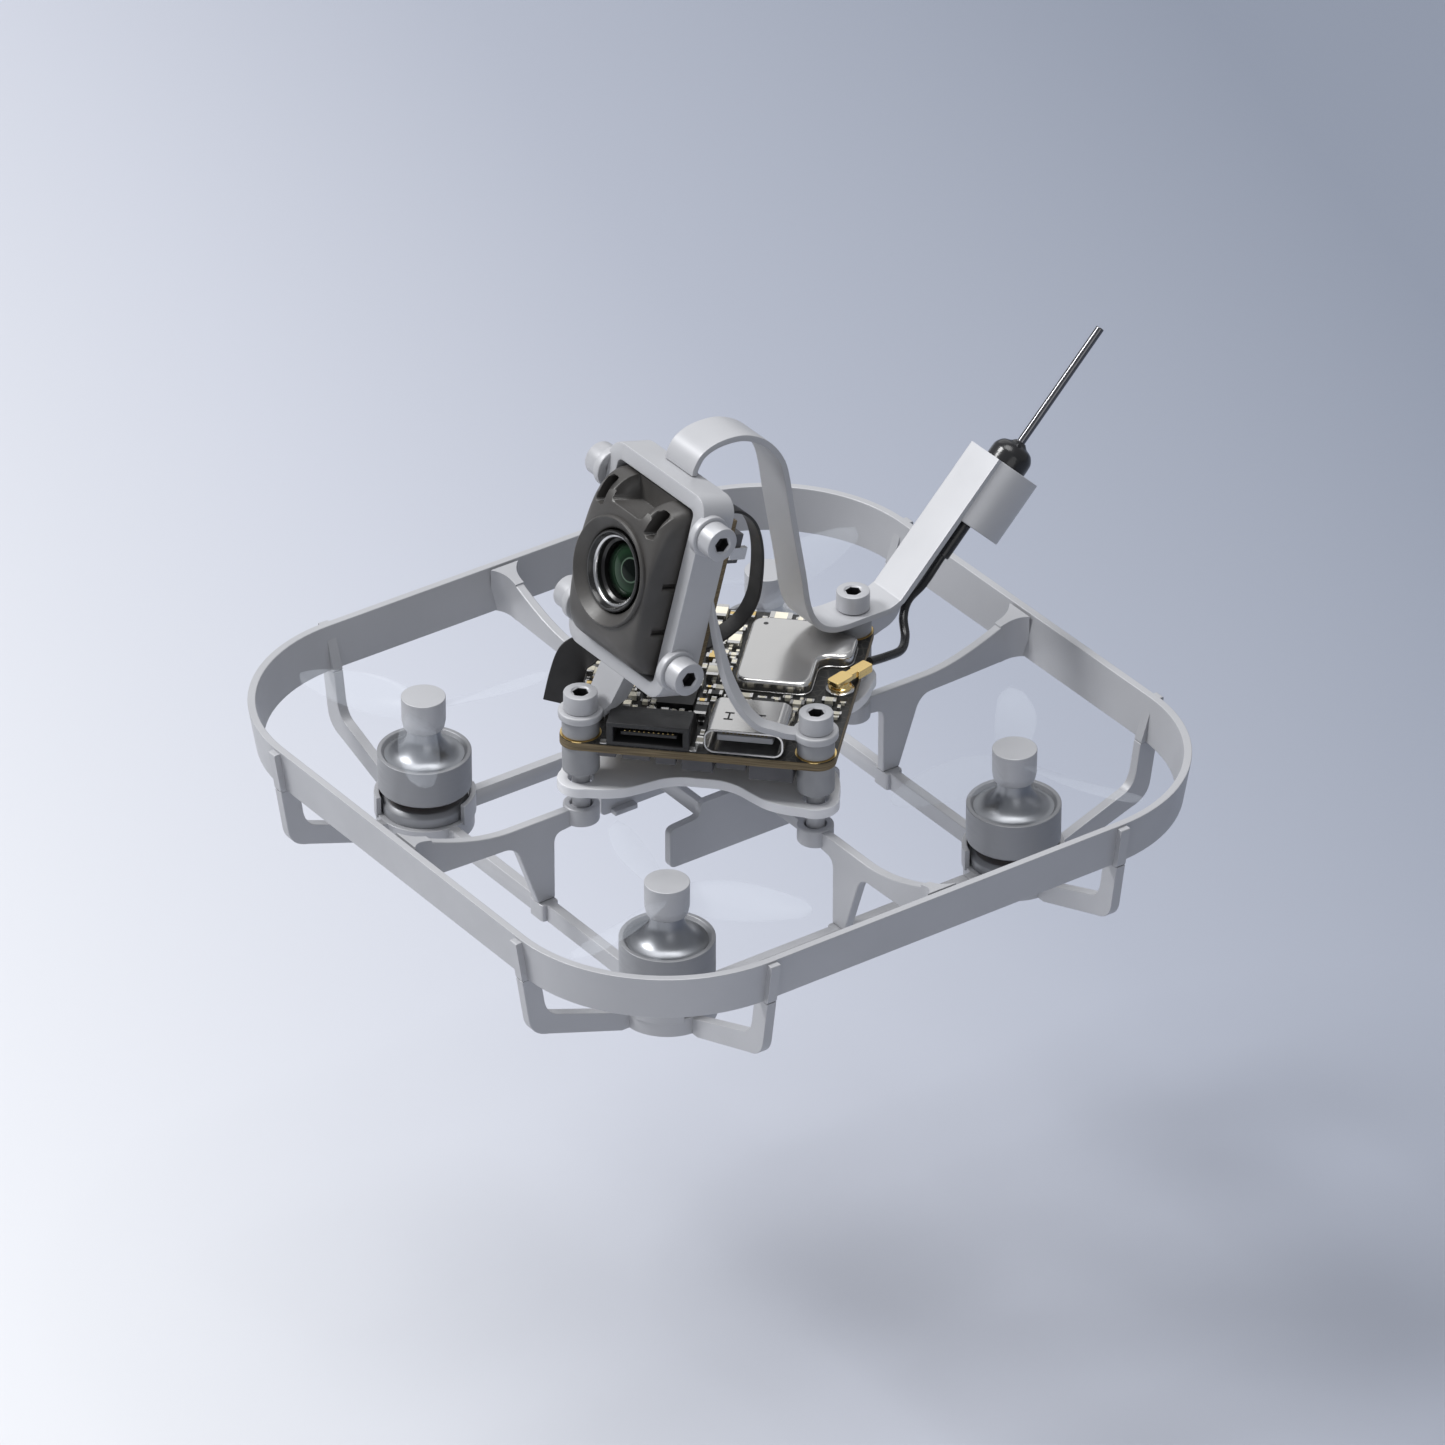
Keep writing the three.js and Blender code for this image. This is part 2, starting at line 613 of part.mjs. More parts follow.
// A flat oval shell with a tongue standing in its mouth.
function usbPort() {
  const middle = boardTop + usb.height / 2 + 0.05;
  const oval = (inset) => roundedRectangle(
    usb.left + inset, usb.right - inset, middle - usb.height / 2 + inset, middle + usb.height / 2 - inset,
    usb.height / 2 - 0.35 - inset);
  const shell = slab(oval(0), usb.far - usb.near, usb.far);
  const mouth = slab(oval(usb.wall), usb.deep + 1, usb.far + 1);
  const front = usb.far - usbTongue.setBack;
  const tongue = box(front - usbTongue.long, front, usbTongue.left, usbTongue.right,
    middle - usbTongue.thick / 2, middle + usbTongue.thick / 2);
  return join(cut(shell, mouth), tongue);
}

const plug = { near: 9.6, far: 14.9, left: -9.6, right: -0.6, height: 2.8, wall: 0.7, deep: 2.7 };

// A block with a slotted mouth and a thin tongue inside it.
function videoConnector() {
  const { near, far, left, right, height, wall: rim, deep } = plug;
  const body = box(near, far, left, right, boardTop, boardTop + height);
  const mouth = box(far - deep, far + 1, left + rim, right - rim, boardTop + 0.5, boardTop + height - 0.6);
  const tongue = box(far - deep - 0.2, far - 0.5, left + 2 * rim, right - 2 * rim,
    boardTop + 1.0, boardTop + 1.5);
  return join(cut(body, mouth), tongue);
}

// The plug's barrel runs back along the drone, so it is turned against the board's own turn.
const coax = { x: -0.3, y: 13.3, radius: 1.35, height: 1.5, barrel: 0.75, reach: 4.6 };
const coaxTurn = 0.22 - Math.PI / 4;

function coaxConnector() {
  const cap = cylinder(coax.radius, boardTop, boardTop + coax.height, 16);
  const neck = box(-coax.reach, 0, -coax.barrel, coax.barrel,
    boardTop + 0.45, boardTop + coax.height - 0.05);
  return join(cap, neck.rotateZ(coaxTurn)).translate(coax.x, coax.y, 0);
}

add('shield_can', shieldCan(), bare, onBoard);
add('usb_port', usbPort(), bare, onBoard);
add('video_connector', videoConnector(), black, onBoard);
add('antenna_connector', coaxConnector(), gold, onBoard);

function grommetGeometry() {
  const { radius, neck, bore, bottom, top } = grommet;
  return turned([
    [bore, bottom], [radius, bottom], [radius, board.bottom], [neck, board.bottom], [neck, boardTop],
    [radius, boardTop], [radius, top], [bore, top], [bore, bottom],
  ]);
}

function socketScrew(headRadius, headBottom, headTop, shankRadius, end, socketRadius) {
  const body = turned([
    [0, end], [shankRadius, end], [shankRadius, headBottom], [headRadius, headBottom],
    [headRadius, headTop], [0, headTop],
  ]);
  return cut(body, cylinder(socketRadius, headTop - 1.0, headTop + 1, 6));
}

const footTop = grommet.top + foot.thick;

for (const { name, turn } of quarters) {
  const place = (geometry) => turnedCopy(atStackHole(geometry), turn);
  const headTop = footTop + screw.headHeight;
  add(`stack_grommet_${name}`, place(grommetGeometry()), screwGrey);
  add(`stack_screw_${name}`,
    place(socketScrew(screw.head, footTop, headTop, screw.shank, screw.end, screw.socket)), screwGrey);
}

// ---------------------------------------------------------------- canopy: cradle, feet and legs

const tilted = new THREE.Group();
tilted.rotation.y = -cameraTilt;
drone.add(tilted);

const sideways = new THREE.Vector3(0, 1, 0);
const tiltPoint = (x, y, z) => new THREE.Vector3(x, y, z).applyAxisAngle(sideways, -cameraTilt);

function cradleFrame() {
  const { front, depth, halfWidth, bottom, top, corner } = cradle;
  const outline = roundedRectangle(-halfWidth, halfWidth, bottom, top, corner);
  outline.holes.push(roundedRectangle(
    -cradleWindow.half, cradleWindow.half, bottom + cradleWindow.sill, top - cradleWindow.lintel, 0.6,
    THREE.Path));
  const parts = [slab(outline, depth, front, 4)];
  for (const side of [1, -1]) {
    for (const height of [cameraScrew.low, cameraScrew.high]) {
      const boss = cylinder(cameraScrew.boss, halfWidth - 0.5, halfWidth + cameraScrew.bossOut);
      parts.push(boss.rotateX(-side * Math.PI / 2).translate(cameraScrew.front, 0, height));
    }
  }
  const holes = [];
  for (const height of [cameraScrew.low, cameraScrew.high]) {
    const hole = cylinder(screw.shank + 0.15, -20, 20, 12);
    holes.push(hole.rotateX(Math.PI / 2).translate(cameraScrew.front, 0, height));
  }
  return cut(join(...parts), ...holes).rotateY(-cameraTilt);
}

function footDisc(turn) {
  return turnedCopy(atStackHole(cylinder(foot.radius, grommet.top, footTop)), turn);
}

// The front foot slopes up under the cradle's sill.
function frontLeg() {
  const sill = tiltPoint(cradle.front, 0, cradle.bottom + 0.6);
  const sillBack = tiltPoint(cradle.front - 2.4, 0, cradle.bottom + 0.6);
  const shape = polygon([
    [stackHole, grommet.top], [stackHole, footTop],
    [stackHole - 2.1, footTop], [stackHole - 3.4, footTop + 1.8],
    [sill.x, sill.z], [sillBack.x, sillBack.z],
    [stackHole - 5.0, footTop + 0.9], [stackHole - 2.2, footTop - 0.1], [stackHole - 1.8, grommet.top],
  ]);
  return wall(shape, 4.4);
}

const sideLegBand = { width: 2.6, thick: 0.8 };

// A side leg springs from the back of the cradle's cheek and sweeps down to its foot.
function sideLeg(side) {
  const route = [
    [7.0, 8.4, 38.4], [7.15, 9.2, 36.0], [7.2, 10.1, 33.4], [6.95, 11.3, 30.2], [6.2, 12.7, 27.4],
    [4.9, 14.4, 25.7], [3.5, 15.6, 25.2], [2.6, 16.3, 24.6], [1.95, 16.8, 24.05],
  ];
  const last = route.length - 1;
  const across = (row) => {
    const splay = THREE.MathUtils.lerp(0.2, 1.1, row / last);
    return new THREE.Vector3(1, side * splay, 0).normalize();
  };
  const face = (row) => {
    const before = new THREE.Vector3(...route[Math.max(row - 1, 0)]);
    const after = new THREE.Vector3(...route[Math.min(row + 1, last)]);
    const along = after.sub(before).multiply(new THREE.Vector3(1, side, 1)).normalize();
    return new THREE.Vector3().crossVectors(across(row), along).normalize();
  };
  const stations = route.map(([x, y, z]) => [x, side * y, z]);
  return ribbon(stations, sideLegBand.width, sideLegBand.thick, across, face);
}

function cameraCradle() {
  const feet = [footDisc(0), footDisc(Math.PI / 2), footDisc(-Math.PI / 2)];
  const body = join(cradleFrame(), frontLeg(), sideLeg(1), sideLeg(-1), ...feet);
  const holes = [0, Math.PI / 2, -Math.PI / 2].map((turn) =>
    turnedCopy(atStackHole(cylinder(foot.hole, grommet.top - 1, footTop + screw.headHeight, 12)), turn));
  return cut(body, ...holes);
}

add('camera_cradle', cameraCradle(), silver);

// ---------------------------------------------------------------- canopy: bow, rear foot and antenna arm

const armDirection = new THREE.Vector2(-Math.cos(armAngle), Math.sin(armAngle));
const armBack = new THREE.Vector2(-Math.sin(armAngle), -Math.cos(armAngle));

function canopyBow() {
  const footMiddle = grommet.top + foot.thick / 2;
  const hoop = [
    [4.75, 49.85], [4.55, 50.6], [3.7, 51.8], [2.2, 52.5], [0.2, 52.65], [-1.9, 52.25], [-4.0, 51.1],
    [-5.6, 49.5], [-6.8, 47.5], [-7.4, 45.2], [-7.9, 42.0], [-8.75, 37.2], [-9.6, 32.5],
    [-10.15, 29.0], [-10.9, 26.7],
    [-12.1, 25.1], [-13.8, 24.2], [-15.6, footMiddle], [-18.0, footMiddle], [-20.6, footMiddle],
  ];
  const armEnd = new THREE.Vector2(bow.armEndX, bow.armEndZ).addScaledVector(armBack, bow.footThick / 2);
  const armLength = (bow.armStartX - bow.armEndX) / Math.cos(armAngle);
  const armStart = armEnd.clone().addScaledVector(armDirection, -armLength);
  const middle = [...hoop.map(([x, z]) => new THREE.Vector2(x, z)), armStart, armEnd];
  const thick = ({ x }) => (x > -12 ? bow.thick : bow.footThick);
  const band = wall(strip(middle, thick), bow.width);
  const hole = cylinder(foot.hole, grommet.top - 1, footTop + 2, 12).translate(-stackHole, 0, 0);
  return cut(join(band, sleeveShell()), cylinderOnAxis(sleeve.inner, -sleeve.length - 1, 1, 14), hole);
}

// The antenna's axis runs behind the arm, parallel to it. Distances along it start at the arm's end.
const axisStart = new THREE.Vector2(bow.armEndX, bow.armEndZ).addScaledVector(armBack, sleeve.behind);
const axisTurn = Math.atan2(armDirection.x, armDirection.y);

function onAxis(geometry) {
  return geometry.rotateY(axisTurn).translate(axisStart.x, 0, axisStart.y);
}
const cylinderOnAxis = (radius, from, to, sides) => onAxis(cylinder(radius, from, to, sides));
const sleeveShell = () => cylinderOnAxis(sleeve.outer, -sleeve.length, 0, 18);

add('canopy_bow', canopyBow(), silver);

// ---------------------------------------------------------------- antenna

function antennaRod() {
  const { collar, dome, rod, reach } = antenna;
  return onAxis(turned([
    [0, -sleeve.length + 0.4], [collar, -sleeve.length + 0.4], [collar, 0.9], [collar * 0.93, 1.6],
    [collar * 0.7, 2.2], [rod + 0.25, dome], [rod, dome + 0.35], [rod, reach], [0, reach],
  ], 16));
}

// The lead is made up of the stiff sleeve behind the rod and the coaxial cable down to its plug.
function leadRoute() {
  const onAxisPoint = (distance) => {
    const point = axisStart.clone().addScaledVector(armDirection, distance);
    return new THREE.Vector3(point.x, 0, point.y);
  };
  return [
    onAxisPoint(-sleeve.length - 0.1), onAxisPoint(-antenna.shrinkEnd),
    new THREE.Vector3(-27.3, 0.3, 24.3), new THREE.Vector3(-24.6, 1.2, 23.6),
    new THREE.Vector3(-23.0, 2.5, 22.6), new THREE.Vector3(-22.0, 4.2, 21.3),
    new THREE.Vector3(-20.2, 5.9, 21.1), new THREE.Vector3(-17.6, 6.9, 21.7),
    new THREE.Vector3(-14.75, 7.55, 22.35),
  ];
}

function antennaLead() {
  const { shrink, lead, shrinkEnd } = antenna;
  const route = new THREE.CatmullRomCurve3(leadRoute());
  const circle = new THREE.Shape();
  circle.absarc(0, 0, lead, 0, 2 * Math.PI);
  const cable = new THREE.ExtrudeGeometry(circle, { extrudePath: route, steps: 26, curveSegments: 4 });
  const boot = cylinderOnAxis(shrink, -shrinkEnd, -sleeve.length + 0.1, 12);
  return join(cable, boot);
}

add('antenna_rod', antennaRod(), black);
add('antenna_lead', antennaLead(), black);

// ---------------------------------------------------------------- camera

const cameraLow = cradle.bottom + cradleWindow.sill + camera.gap;
const cameraHigh = cradle.top - cradleWindow.lintel - camera.gap;

// A rectangular housing whose front swells forwards to a round lens bezel.
function cameraHousing() {
  const corner = 1.0;
  const back = cradle.front - cradle.depth + 0.6;
  const face = cradle.front - 0.5;
  const count = 32;
  const section = (x, half, low, high, round) => {
    const points = [];
    for (let i = 0; i < count; i += 1) {
      const angle = (i / count) * 2 * Math.PI + Math.PI / count;
      const c = Math.cos(angle);
      const s = Math.sin(angle);
      const square = 1 / Math.max(Math.abs(c), Math.abs(s));
      const reach = THREE.MathUtils.lerp(square, 1, round);
      points.push(new THREE.Vector3(x, half * c * reach, (low + high) / 2 + ((high - low) / 2) * s * reach));
    }
    return points;
  };
  const { lensCentre, bezel, nose } = camera;
  const low = cameraLow;
  const high = cameraHigh;
  const shell = loft([
    section(back, camera.half, low, high, 0.03),
    section(face, camera.half, low, high, 0.03),
    section(face + nose * 0.45, camera.half * 0.96, low + corner, high - corner, 0.15),
    section(face + nose * 0.9, bezel, lensCentre - bezel - 1.2, lensCentre + bezel + 1.2, 0.75),
    section(face + nose + 0.8, bezel, lensCentre - bezel, lensCentre + bezel, 1),
  ]);
  const lensHole = cylinder(camera.barrel + 0.15, back - 1, face + nose + 3, 24);
  return cut(shell, lensHole.rotateY(Math.PI / 2).translate(0, 0, lensCentre));
}

// The barrel holds a stepped, sunken front glass.
function lensBarrel() {
  const { barrel, nose } = camera;
  const profile = turned([
    [0, 0.9], [barrel, 0.9], [barrel, nose + 3.2], [barrel - 0.5, nose + 3.2], [barrel - 1.2, nose + 2.3],
    [2.0, nose + 2.6], [0, nose + 2.9],
  ], 24);
  return profile.rotateY(Math.PI / 2).translate(cradle.front - cradle.depth, 0, camera.lensCentre);
}

function cameraBoard() {
  const back = cradle.front - cradle.depth;
  const sheet = box(back - 0.9, back + 0.2, -6.4, 6.4, cameraLow + 0.4, cameraHigh - 0.4);
  const socket = box(back - 2.6, back - 0.8, -1.0, 5.6, cameraHigh - 5.4, cameraHigh - 2.4);
  return join(sheet, socket);
}

add('camera_housing', cameraHousing(), darkGrey, tilted);
add('camera_lens', lensBarrel(), black, tilted);
add('camera_board', cameraBoard(), tanEdge, tilted);

// A screw clamps the housing through each cheek of the cradle, twice a side.
for (const [sideName, side] of [['left', 1], ['right', -1]]) {
  for (const [levelName, height] of [['low', cameraScrew.low], ['high', cameraScrew.high]]) {
    const seat = cradle.halfWidth + cameraScrew.bossOut;
    const body = socketScrew(cameraScrew.head, seat, cameraScrew.out, screw.shank, camera.half + clearance,
      screw.socket);
    const placed = body.rotateX(-side * Math.PI / 2).translate(cameraScrew.front, 0, height);
    add(`camera_screw_${sideName}_${levelName}`, placed, screwGrey, tilted);
  }
}

// The flat cable leaves the camera's back, hangs in a loop, passes under the camera and drops over
// the edge of the video board.
function cameraRibbon() {
  const route = [
    [1.1, 2.4, 44.6], [-1.4, 2.3, 43.6], [-3.6, 2.1, 41.4], [-4.7, 1.8, 38.0], [-5.0, 1.4, 34.0],
    [-4.6, 0.9, 30.8], [-3.0, 0.2, 28.2], [0.2, -0.9, 26.4], [4.2, -3.0, 25.4], [8.0, -5.6, 25.1],
    [11.0, -7.8, 25.0], [12.9, -9.0, 24.4], [13.9, -9.6, 22.9], [14.1, -9.7, 20.8], [13.9, -9.6, 18.8],
  ];
  const last = route.length - 1;
  const across = () => new THREE.Vector3(0, 1, 0);
  const face = (row) => {
    const before = new THREE.Vector3(...route[Math.max(row - 1, 0)]);
    const after = new THREE.Vector3(...route[Math.min(row + 1, last)]);
    return new THREE.Vector3().crossVectors(across(), after.sub(before)).normalize();
  };
  return ribbon(route, 3.4, 0.35, across, face);
}

add('camera_ribbon', cameraRibbon(), black);

// ---------------------------------------------------------------- origin

drone.updateMatrixWorld(true);
const footprint = new THREE.Box3().setFromObject(drone, true);
drone.position.x = -(footprint.min.x + footprint.max.x) / 2;

export default drone;
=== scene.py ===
import math
import random

import bmesh
import bpy
from mathutils import Matrix, Vector


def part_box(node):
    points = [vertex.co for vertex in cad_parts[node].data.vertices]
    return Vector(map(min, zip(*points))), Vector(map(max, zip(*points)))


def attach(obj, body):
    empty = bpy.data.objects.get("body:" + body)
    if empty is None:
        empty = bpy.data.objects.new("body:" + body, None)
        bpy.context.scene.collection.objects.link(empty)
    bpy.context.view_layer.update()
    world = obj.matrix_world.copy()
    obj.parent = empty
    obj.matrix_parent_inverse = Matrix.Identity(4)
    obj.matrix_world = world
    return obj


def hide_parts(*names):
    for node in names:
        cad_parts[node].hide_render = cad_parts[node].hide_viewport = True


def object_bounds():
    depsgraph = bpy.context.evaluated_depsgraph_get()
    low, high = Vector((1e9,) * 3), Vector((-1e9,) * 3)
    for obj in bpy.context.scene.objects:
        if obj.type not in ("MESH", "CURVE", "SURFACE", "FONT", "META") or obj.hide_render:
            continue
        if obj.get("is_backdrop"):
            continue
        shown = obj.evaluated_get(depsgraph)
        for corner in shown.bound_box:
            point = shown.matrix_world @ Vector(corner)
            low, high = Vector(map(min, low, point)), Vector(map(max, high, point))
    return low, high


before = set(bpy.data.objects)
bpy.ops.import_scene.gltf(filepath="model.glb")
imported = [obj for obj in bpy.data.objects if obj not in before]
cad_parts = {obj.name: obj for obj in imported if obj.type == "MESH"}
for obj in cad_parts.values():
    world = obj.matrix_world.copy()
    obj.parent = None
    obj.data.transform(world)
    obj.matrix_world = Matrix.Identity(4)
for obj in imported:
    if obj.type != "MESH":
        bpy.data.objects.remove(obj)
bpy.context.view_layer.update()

# The looks of a ducted FPV racing drone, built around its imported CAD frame.
#
# Shapes are drawn in millimetres about the centre of the duct ring, +X to the nose, +Y to the left,
# +Z up, and piece() carries them into the frame in metres. The CAD nodes' boxes give the places and the
# main heights of the ring, motors, rails, hubs, stack screws and grommets, and the heights of the boards,
# the cage and the shield can. The other sizes, among them those of the camera, its cradle, the bow, the
# antenna and the connectors, are written here to match the solids, and don't follow a change to them.

MM = 0.001
low_ring, high_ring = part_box("duct_ring")
CENTRE = Vector(((low_ring.x + high_ring.x) / 2, (low_ring.y + high_ring.y) / 2, 0))
QUARTERS = {"front": 0, "left": 90, "rear": 180, "right": -90}
CORNERS = {"front_left": 0, "rear_left": 90, "rear_right": 180, "front_right": -90}
SPIN = {"front_left": 1, "rear_left": -1, "rear_right": 1, "front_right": -1}


def extent(node):
    """The lowest and highest corners of a CAD node, in millimetres about the ring's centre."""
    low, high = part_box(node)
    return (low - CENTRE) / MM, (high - CENTRE) / MM


# ---------------------------------------------------------------- sizes taken from the frame

RING_LOW, RING_HIGH = extent("duct_ring")
RING_TOP = RING_HIGH.z
RING_BOTTOM = RING_LOW.z
BELL_LOW, BELL_HIGH = extent("motor_bell_front_left")
MOTOR = (BELL_LOW.x + BELL_HIGH.x) / 2
BELL_RADIUS = (BELL_HIGH.x - BELL_LOW.x) / 2
BASE_LOW, BASE_HIGH = extent("motor_base_front_left")
HUB_BOTTOM = extent("propeller_front_left")[0].z
SCREW_LOW, SCREW_HIGH = extent("stack_screw_front")
HOLE = (SCREW_LOW.x + SCREW_HIGH.x) / 2
HEAD_RADIUS = (SCREW_HIGH.x - SCREW_LOW.x) / 2
HEAD_TOP = SCREW_HIGH.z
GROMMET_LOW, GROMMET_HIGH = extent("stack_grommet_front")
GROMMET_RADIUS = (GROMMET_HIGH.x - GROMMET_LOW.x) / 2
BOARD_LOW, BOARD_HIGH = extent("video_board")
BOARD_TOP = BOARD_HIGH.z
CONTROLLER_LOW, CONTROLLER_HIGH = extent("flight_controller")
CAGE_LOW, CAGE_HIGH = extent("battery_cage")
RAIL_TOP = extent("rail_front")[1].z
WEB_TOP = 12.45
BOSS_BOTTOM = 10.5
BOSS_TOP = 12.6
FOOT_THICK = 0.9
FOOT_BOTTOM = GROMMET_HIGH.z
FOOT_TOP = FOOT_BOTTOM + FOOT_THICK

STEP = 0.02              # keeps the faces of solids that run into each other apart
CLEARANCE = 1.2          # radius of the holes for screws in bosses, feet and grommets

POST_OUT = 0.75
POST_WIDTH = 2.3
RING_HALF = RING_HIGH.x - POST_OUT
RING_CORNER = 19.04
RING_FLARE = 0.81
RING_WALL = 0.9
RAIL_THICK = 1.2
WEB_THICK = 1.1

TILT = math.radians(15.75)
LENS_HEIGHT = 34.79
CRADLE_FRONT = 21.01
CRADLE_DEPTH = 4.2
CRADLE_BACK = CRADLE_FRONT - CRADLE_DEPTH
CRADLE_LOW = 22.99
CRADLE_HIGH = 46.54
CRADLE_HALF = 8.8


# ---------------------------------------------------------------- outlines and paths

def soften(line, radius, closed=True, steps=4):
    """Rounds each corner of an outline, or of an open line, where there is room to."""
    points = [Vector(p) for p in line]
    result = []
    for i, corner in enumerate(points):
        if not closed and i in (0, len(points) - 1):
            result.append(corner)
            continue
        before = points[i - 1] - corner
        after = points[(i + 1) % len(points)] - corner
        reach = min(radius, before.length * 0.45, after.length * 0.45)
        start = corner + before.normalized() * reach
        end = corner + after.normalized() * reach
        for k in range(steps + 1):
            t = k / steps
            result.append(start * (1 - t) ** 2 + corner * 2 * t * (1 - t) + end * t ** 2)
    return result


def smooth_line(points, steps=6):
    """A curve through every point."""
    points = [Vector(p) for p in points]
    row = [points[0] * 2 - points[1], *points, points[-1] * 2 - points[-2]]
    line = []
    for a, b, c, d in zip(row, row[1:], row[2:], row[3:]):
        for k in range(steps):
            t = k / steps
            line.append((b * 2 + (c - a) * t + (a * 2 - b * 5 + c * 4 - d) * t ** 2
                         + (b * 3 - a - c * 3 + d) * t ** 3) * 0.5)
    line.append(points[-1])
    return line


def rounded(x0, x1, y0, y1, radius, steps=8):
    """A rectangle's outline with round corners, always with the same number of points."""
    corners = [(x1 - radius, y1 - radius, 0), (x0 + radius, y1 - radius, 90),
               (x0 + radius, y0 + radius, 180), (x1 - radius, y0 + radius, 270)]
    outline = []
    for x, y, start in corners:
        for k in range(steps + 1):
            angle = math.radians(start + 90 * k / steps)
            outline.append((x + radius * math.cos(angle), y + radius * math.sin(angle)))
    return outline


def circle(radius, x=0.0, y=0.0, sides=40):
    turn = 2 * math.pi / sides
    return [(x + radius * math.cos(i * turn), y + radius * math.sin(i * turn)) for i in range(sides)]


# ---------------------------------------------------------------- solids, as (points, faces)

def loft(rows, closed=False):
    """Skins rows of equally many points. An open loft gets a cap at each end."""
    count = len(rows[0])
    points = [Vector(p) for row in rows for p in row]
    faces = []
    for row in range(len(rows) if closed else len(rows) - 1):
        here, there = row * count, (row + 1) % len(rows) * count
        for i in range(count):
            j = (i + 1) % count
            faces.append((here + i, here + j, there + j, there + i))
    if not closed:
        end = (len(rows) - 1) * count
        faces += [tuple(range(count))[::-1], tuple(range(end, end + count))]
    return points, faces


def lathe(profile, sides=64, closed=False):
    """Turns a profile of (radius, height) about Z. A third value of 1 makes that ring a hexagon."""
    points, faces, rings = [], [], []
    for radius, height, *flat in profile:
        if radius < 1e-6:
            rings.append([len(points)])
            points.append(Vector((0, 0, height)))
            continue
        rings.append(list(range(len(points), len(points) + sides)))
        for i in range(sides):
            angle = 2 * math.pi * i / sides
            reach = radius
            if flat:
                reach *= math.cos(math.pi / 6) / math.cos((angle % (math.pi / 3)) - math.pi / 6)
            points.append(Vector((reach * math.cos(angle), reach * math.sin(angle), height)))
    for low, high in zip(rings, rings[1:] + (rings[:1] if closed else [])):
        for i in range(sides):
            j = (i + 1) % sides
            corners = [low[i % len(low)], low[j % len(low)], high[j % len(high)], high[i % len(high)]]
            faces.append(tuple(dict.fromkeys(corners)))
    return points, faces


def ring(inner, outer, low, high, round_by, sides):
    """A washer or a tube about Z, with its four edges rounded."""
    profile = [(inner, low), (outer, low), (outer, high), (inner, high)]
    return lathe(soften(profile, round_by, steps=3), sides, closed=True)


def prism(outline, low, high):
    return loft([[(x, y, low) for x, y in outline], [(x, y, high) for x, y in outline]])


def holed_plate(outline, holes, low, high):
    """A flat plate with holes through it."""
    bm = bmesh.new()
    loops = []
    for line in [outline, *holes]:
        corners = [bm.verts.new((x, y, 0)) for x, y in line]
        for a, b in zip(corners, corners[1:] + corners[:1]):
            bm.edges.new((a, b))
        loops.append(len(corners))
    bmesh.ops.triangle_fill(bm, use_beauty=True, edges=bm.edges[:])
    bm.verts.index_update()
    count = len(bm.verts)
    flat = [tuple(v.index for v in face.verts) for face in bm.faces]
    plan = [v.co.copy() for v in bm.verts]
    bm.free()
    points = [Vector((p.x, p.y, z)) for z in (low, high) for p in plan]
    faces = flat + [tuple(i + count for i in face[::-1]) for face in flat]
    start = 0
    for size in loops:
        for i in range(size):
            a, b = start + i, start + (i + 1) % size
            faces.append((a, b, b + count, a + count))
        start += size
    return points, faces


def sweep(path, section, across=None, width=None):
    """Carries a section along a path. across(i) is its first axis there, width(i) scales it that way."""
    last = len(path) - 1
    side = Vector((0, 1, 0))
    rows = []
    for i, point in enumerate(path):
        along = (path[min(i + 1, last)] - path[max(i - 1, 0)]).normalized()
        if across:
            side = Vector(across(i))
        side = (side - along * side.dot(along)).normalized()
        up = along.cross(side)
        wide = width(i) if width else 1.0
        rows.append([point + side * u * wide + up * v for u, v in section])
    return loft(rows)


def merge(*parts):
    points, faces = [], []
    for more_points, more_faces in parts:
        faces += [tuple(len(points) + i for i in face) for face in more_faces]
        points += more_points
    return points, faces


def moved(part, *steps):
    """The part after each matrix in turn."""
    points, faces = part
    for matrix in steps:
        points = [matrix @ p for p in points]
    return points, faces


def turn(degrees, axis="Z"):
    return Matrix.Rotation(math.radians(degrees), 4, axis)


def shift(x=0.0, y=0.0, z=0.0):
    return Matrix.Translation((x, y, z))


UPRIGHT = turn(90, "X")                          # a prism drawn in X-Z, with its thickness along Y
FACING = Matrix(((0, 0, 1, 0), (1, 0, 0, 0), (0, 1, 0, 0), (0, 0, 0, 1)))   # drawn in Y-Z, thick along X
TILTED = Matrix.Rotation(-TILT, 4, "Y")          # the camera's own frame, X along its axis
ON_BOARD = turn(45)                              # square to the video board


def upright(outline, thick, middle=0.0):
    return moved(prism(outline, -thick / 2, thick / 2), UPRIGHT, shift(y=middle))


def block(x0, x1, y0, y1, z0, z1, radius=0.12):
    return prism(rounded(x0, x1, y0, y1, radius, 2), z0, z1)


# ---------------------------------------------------------------- pieces

def flatten(made):
    """Shades large faces flat, so that only the small faces along their edges look round."""
    weighted = made.modifiers.new("Flat faces", "WEIGHTED_NORMAL")
    weighted.keep_sharp = True


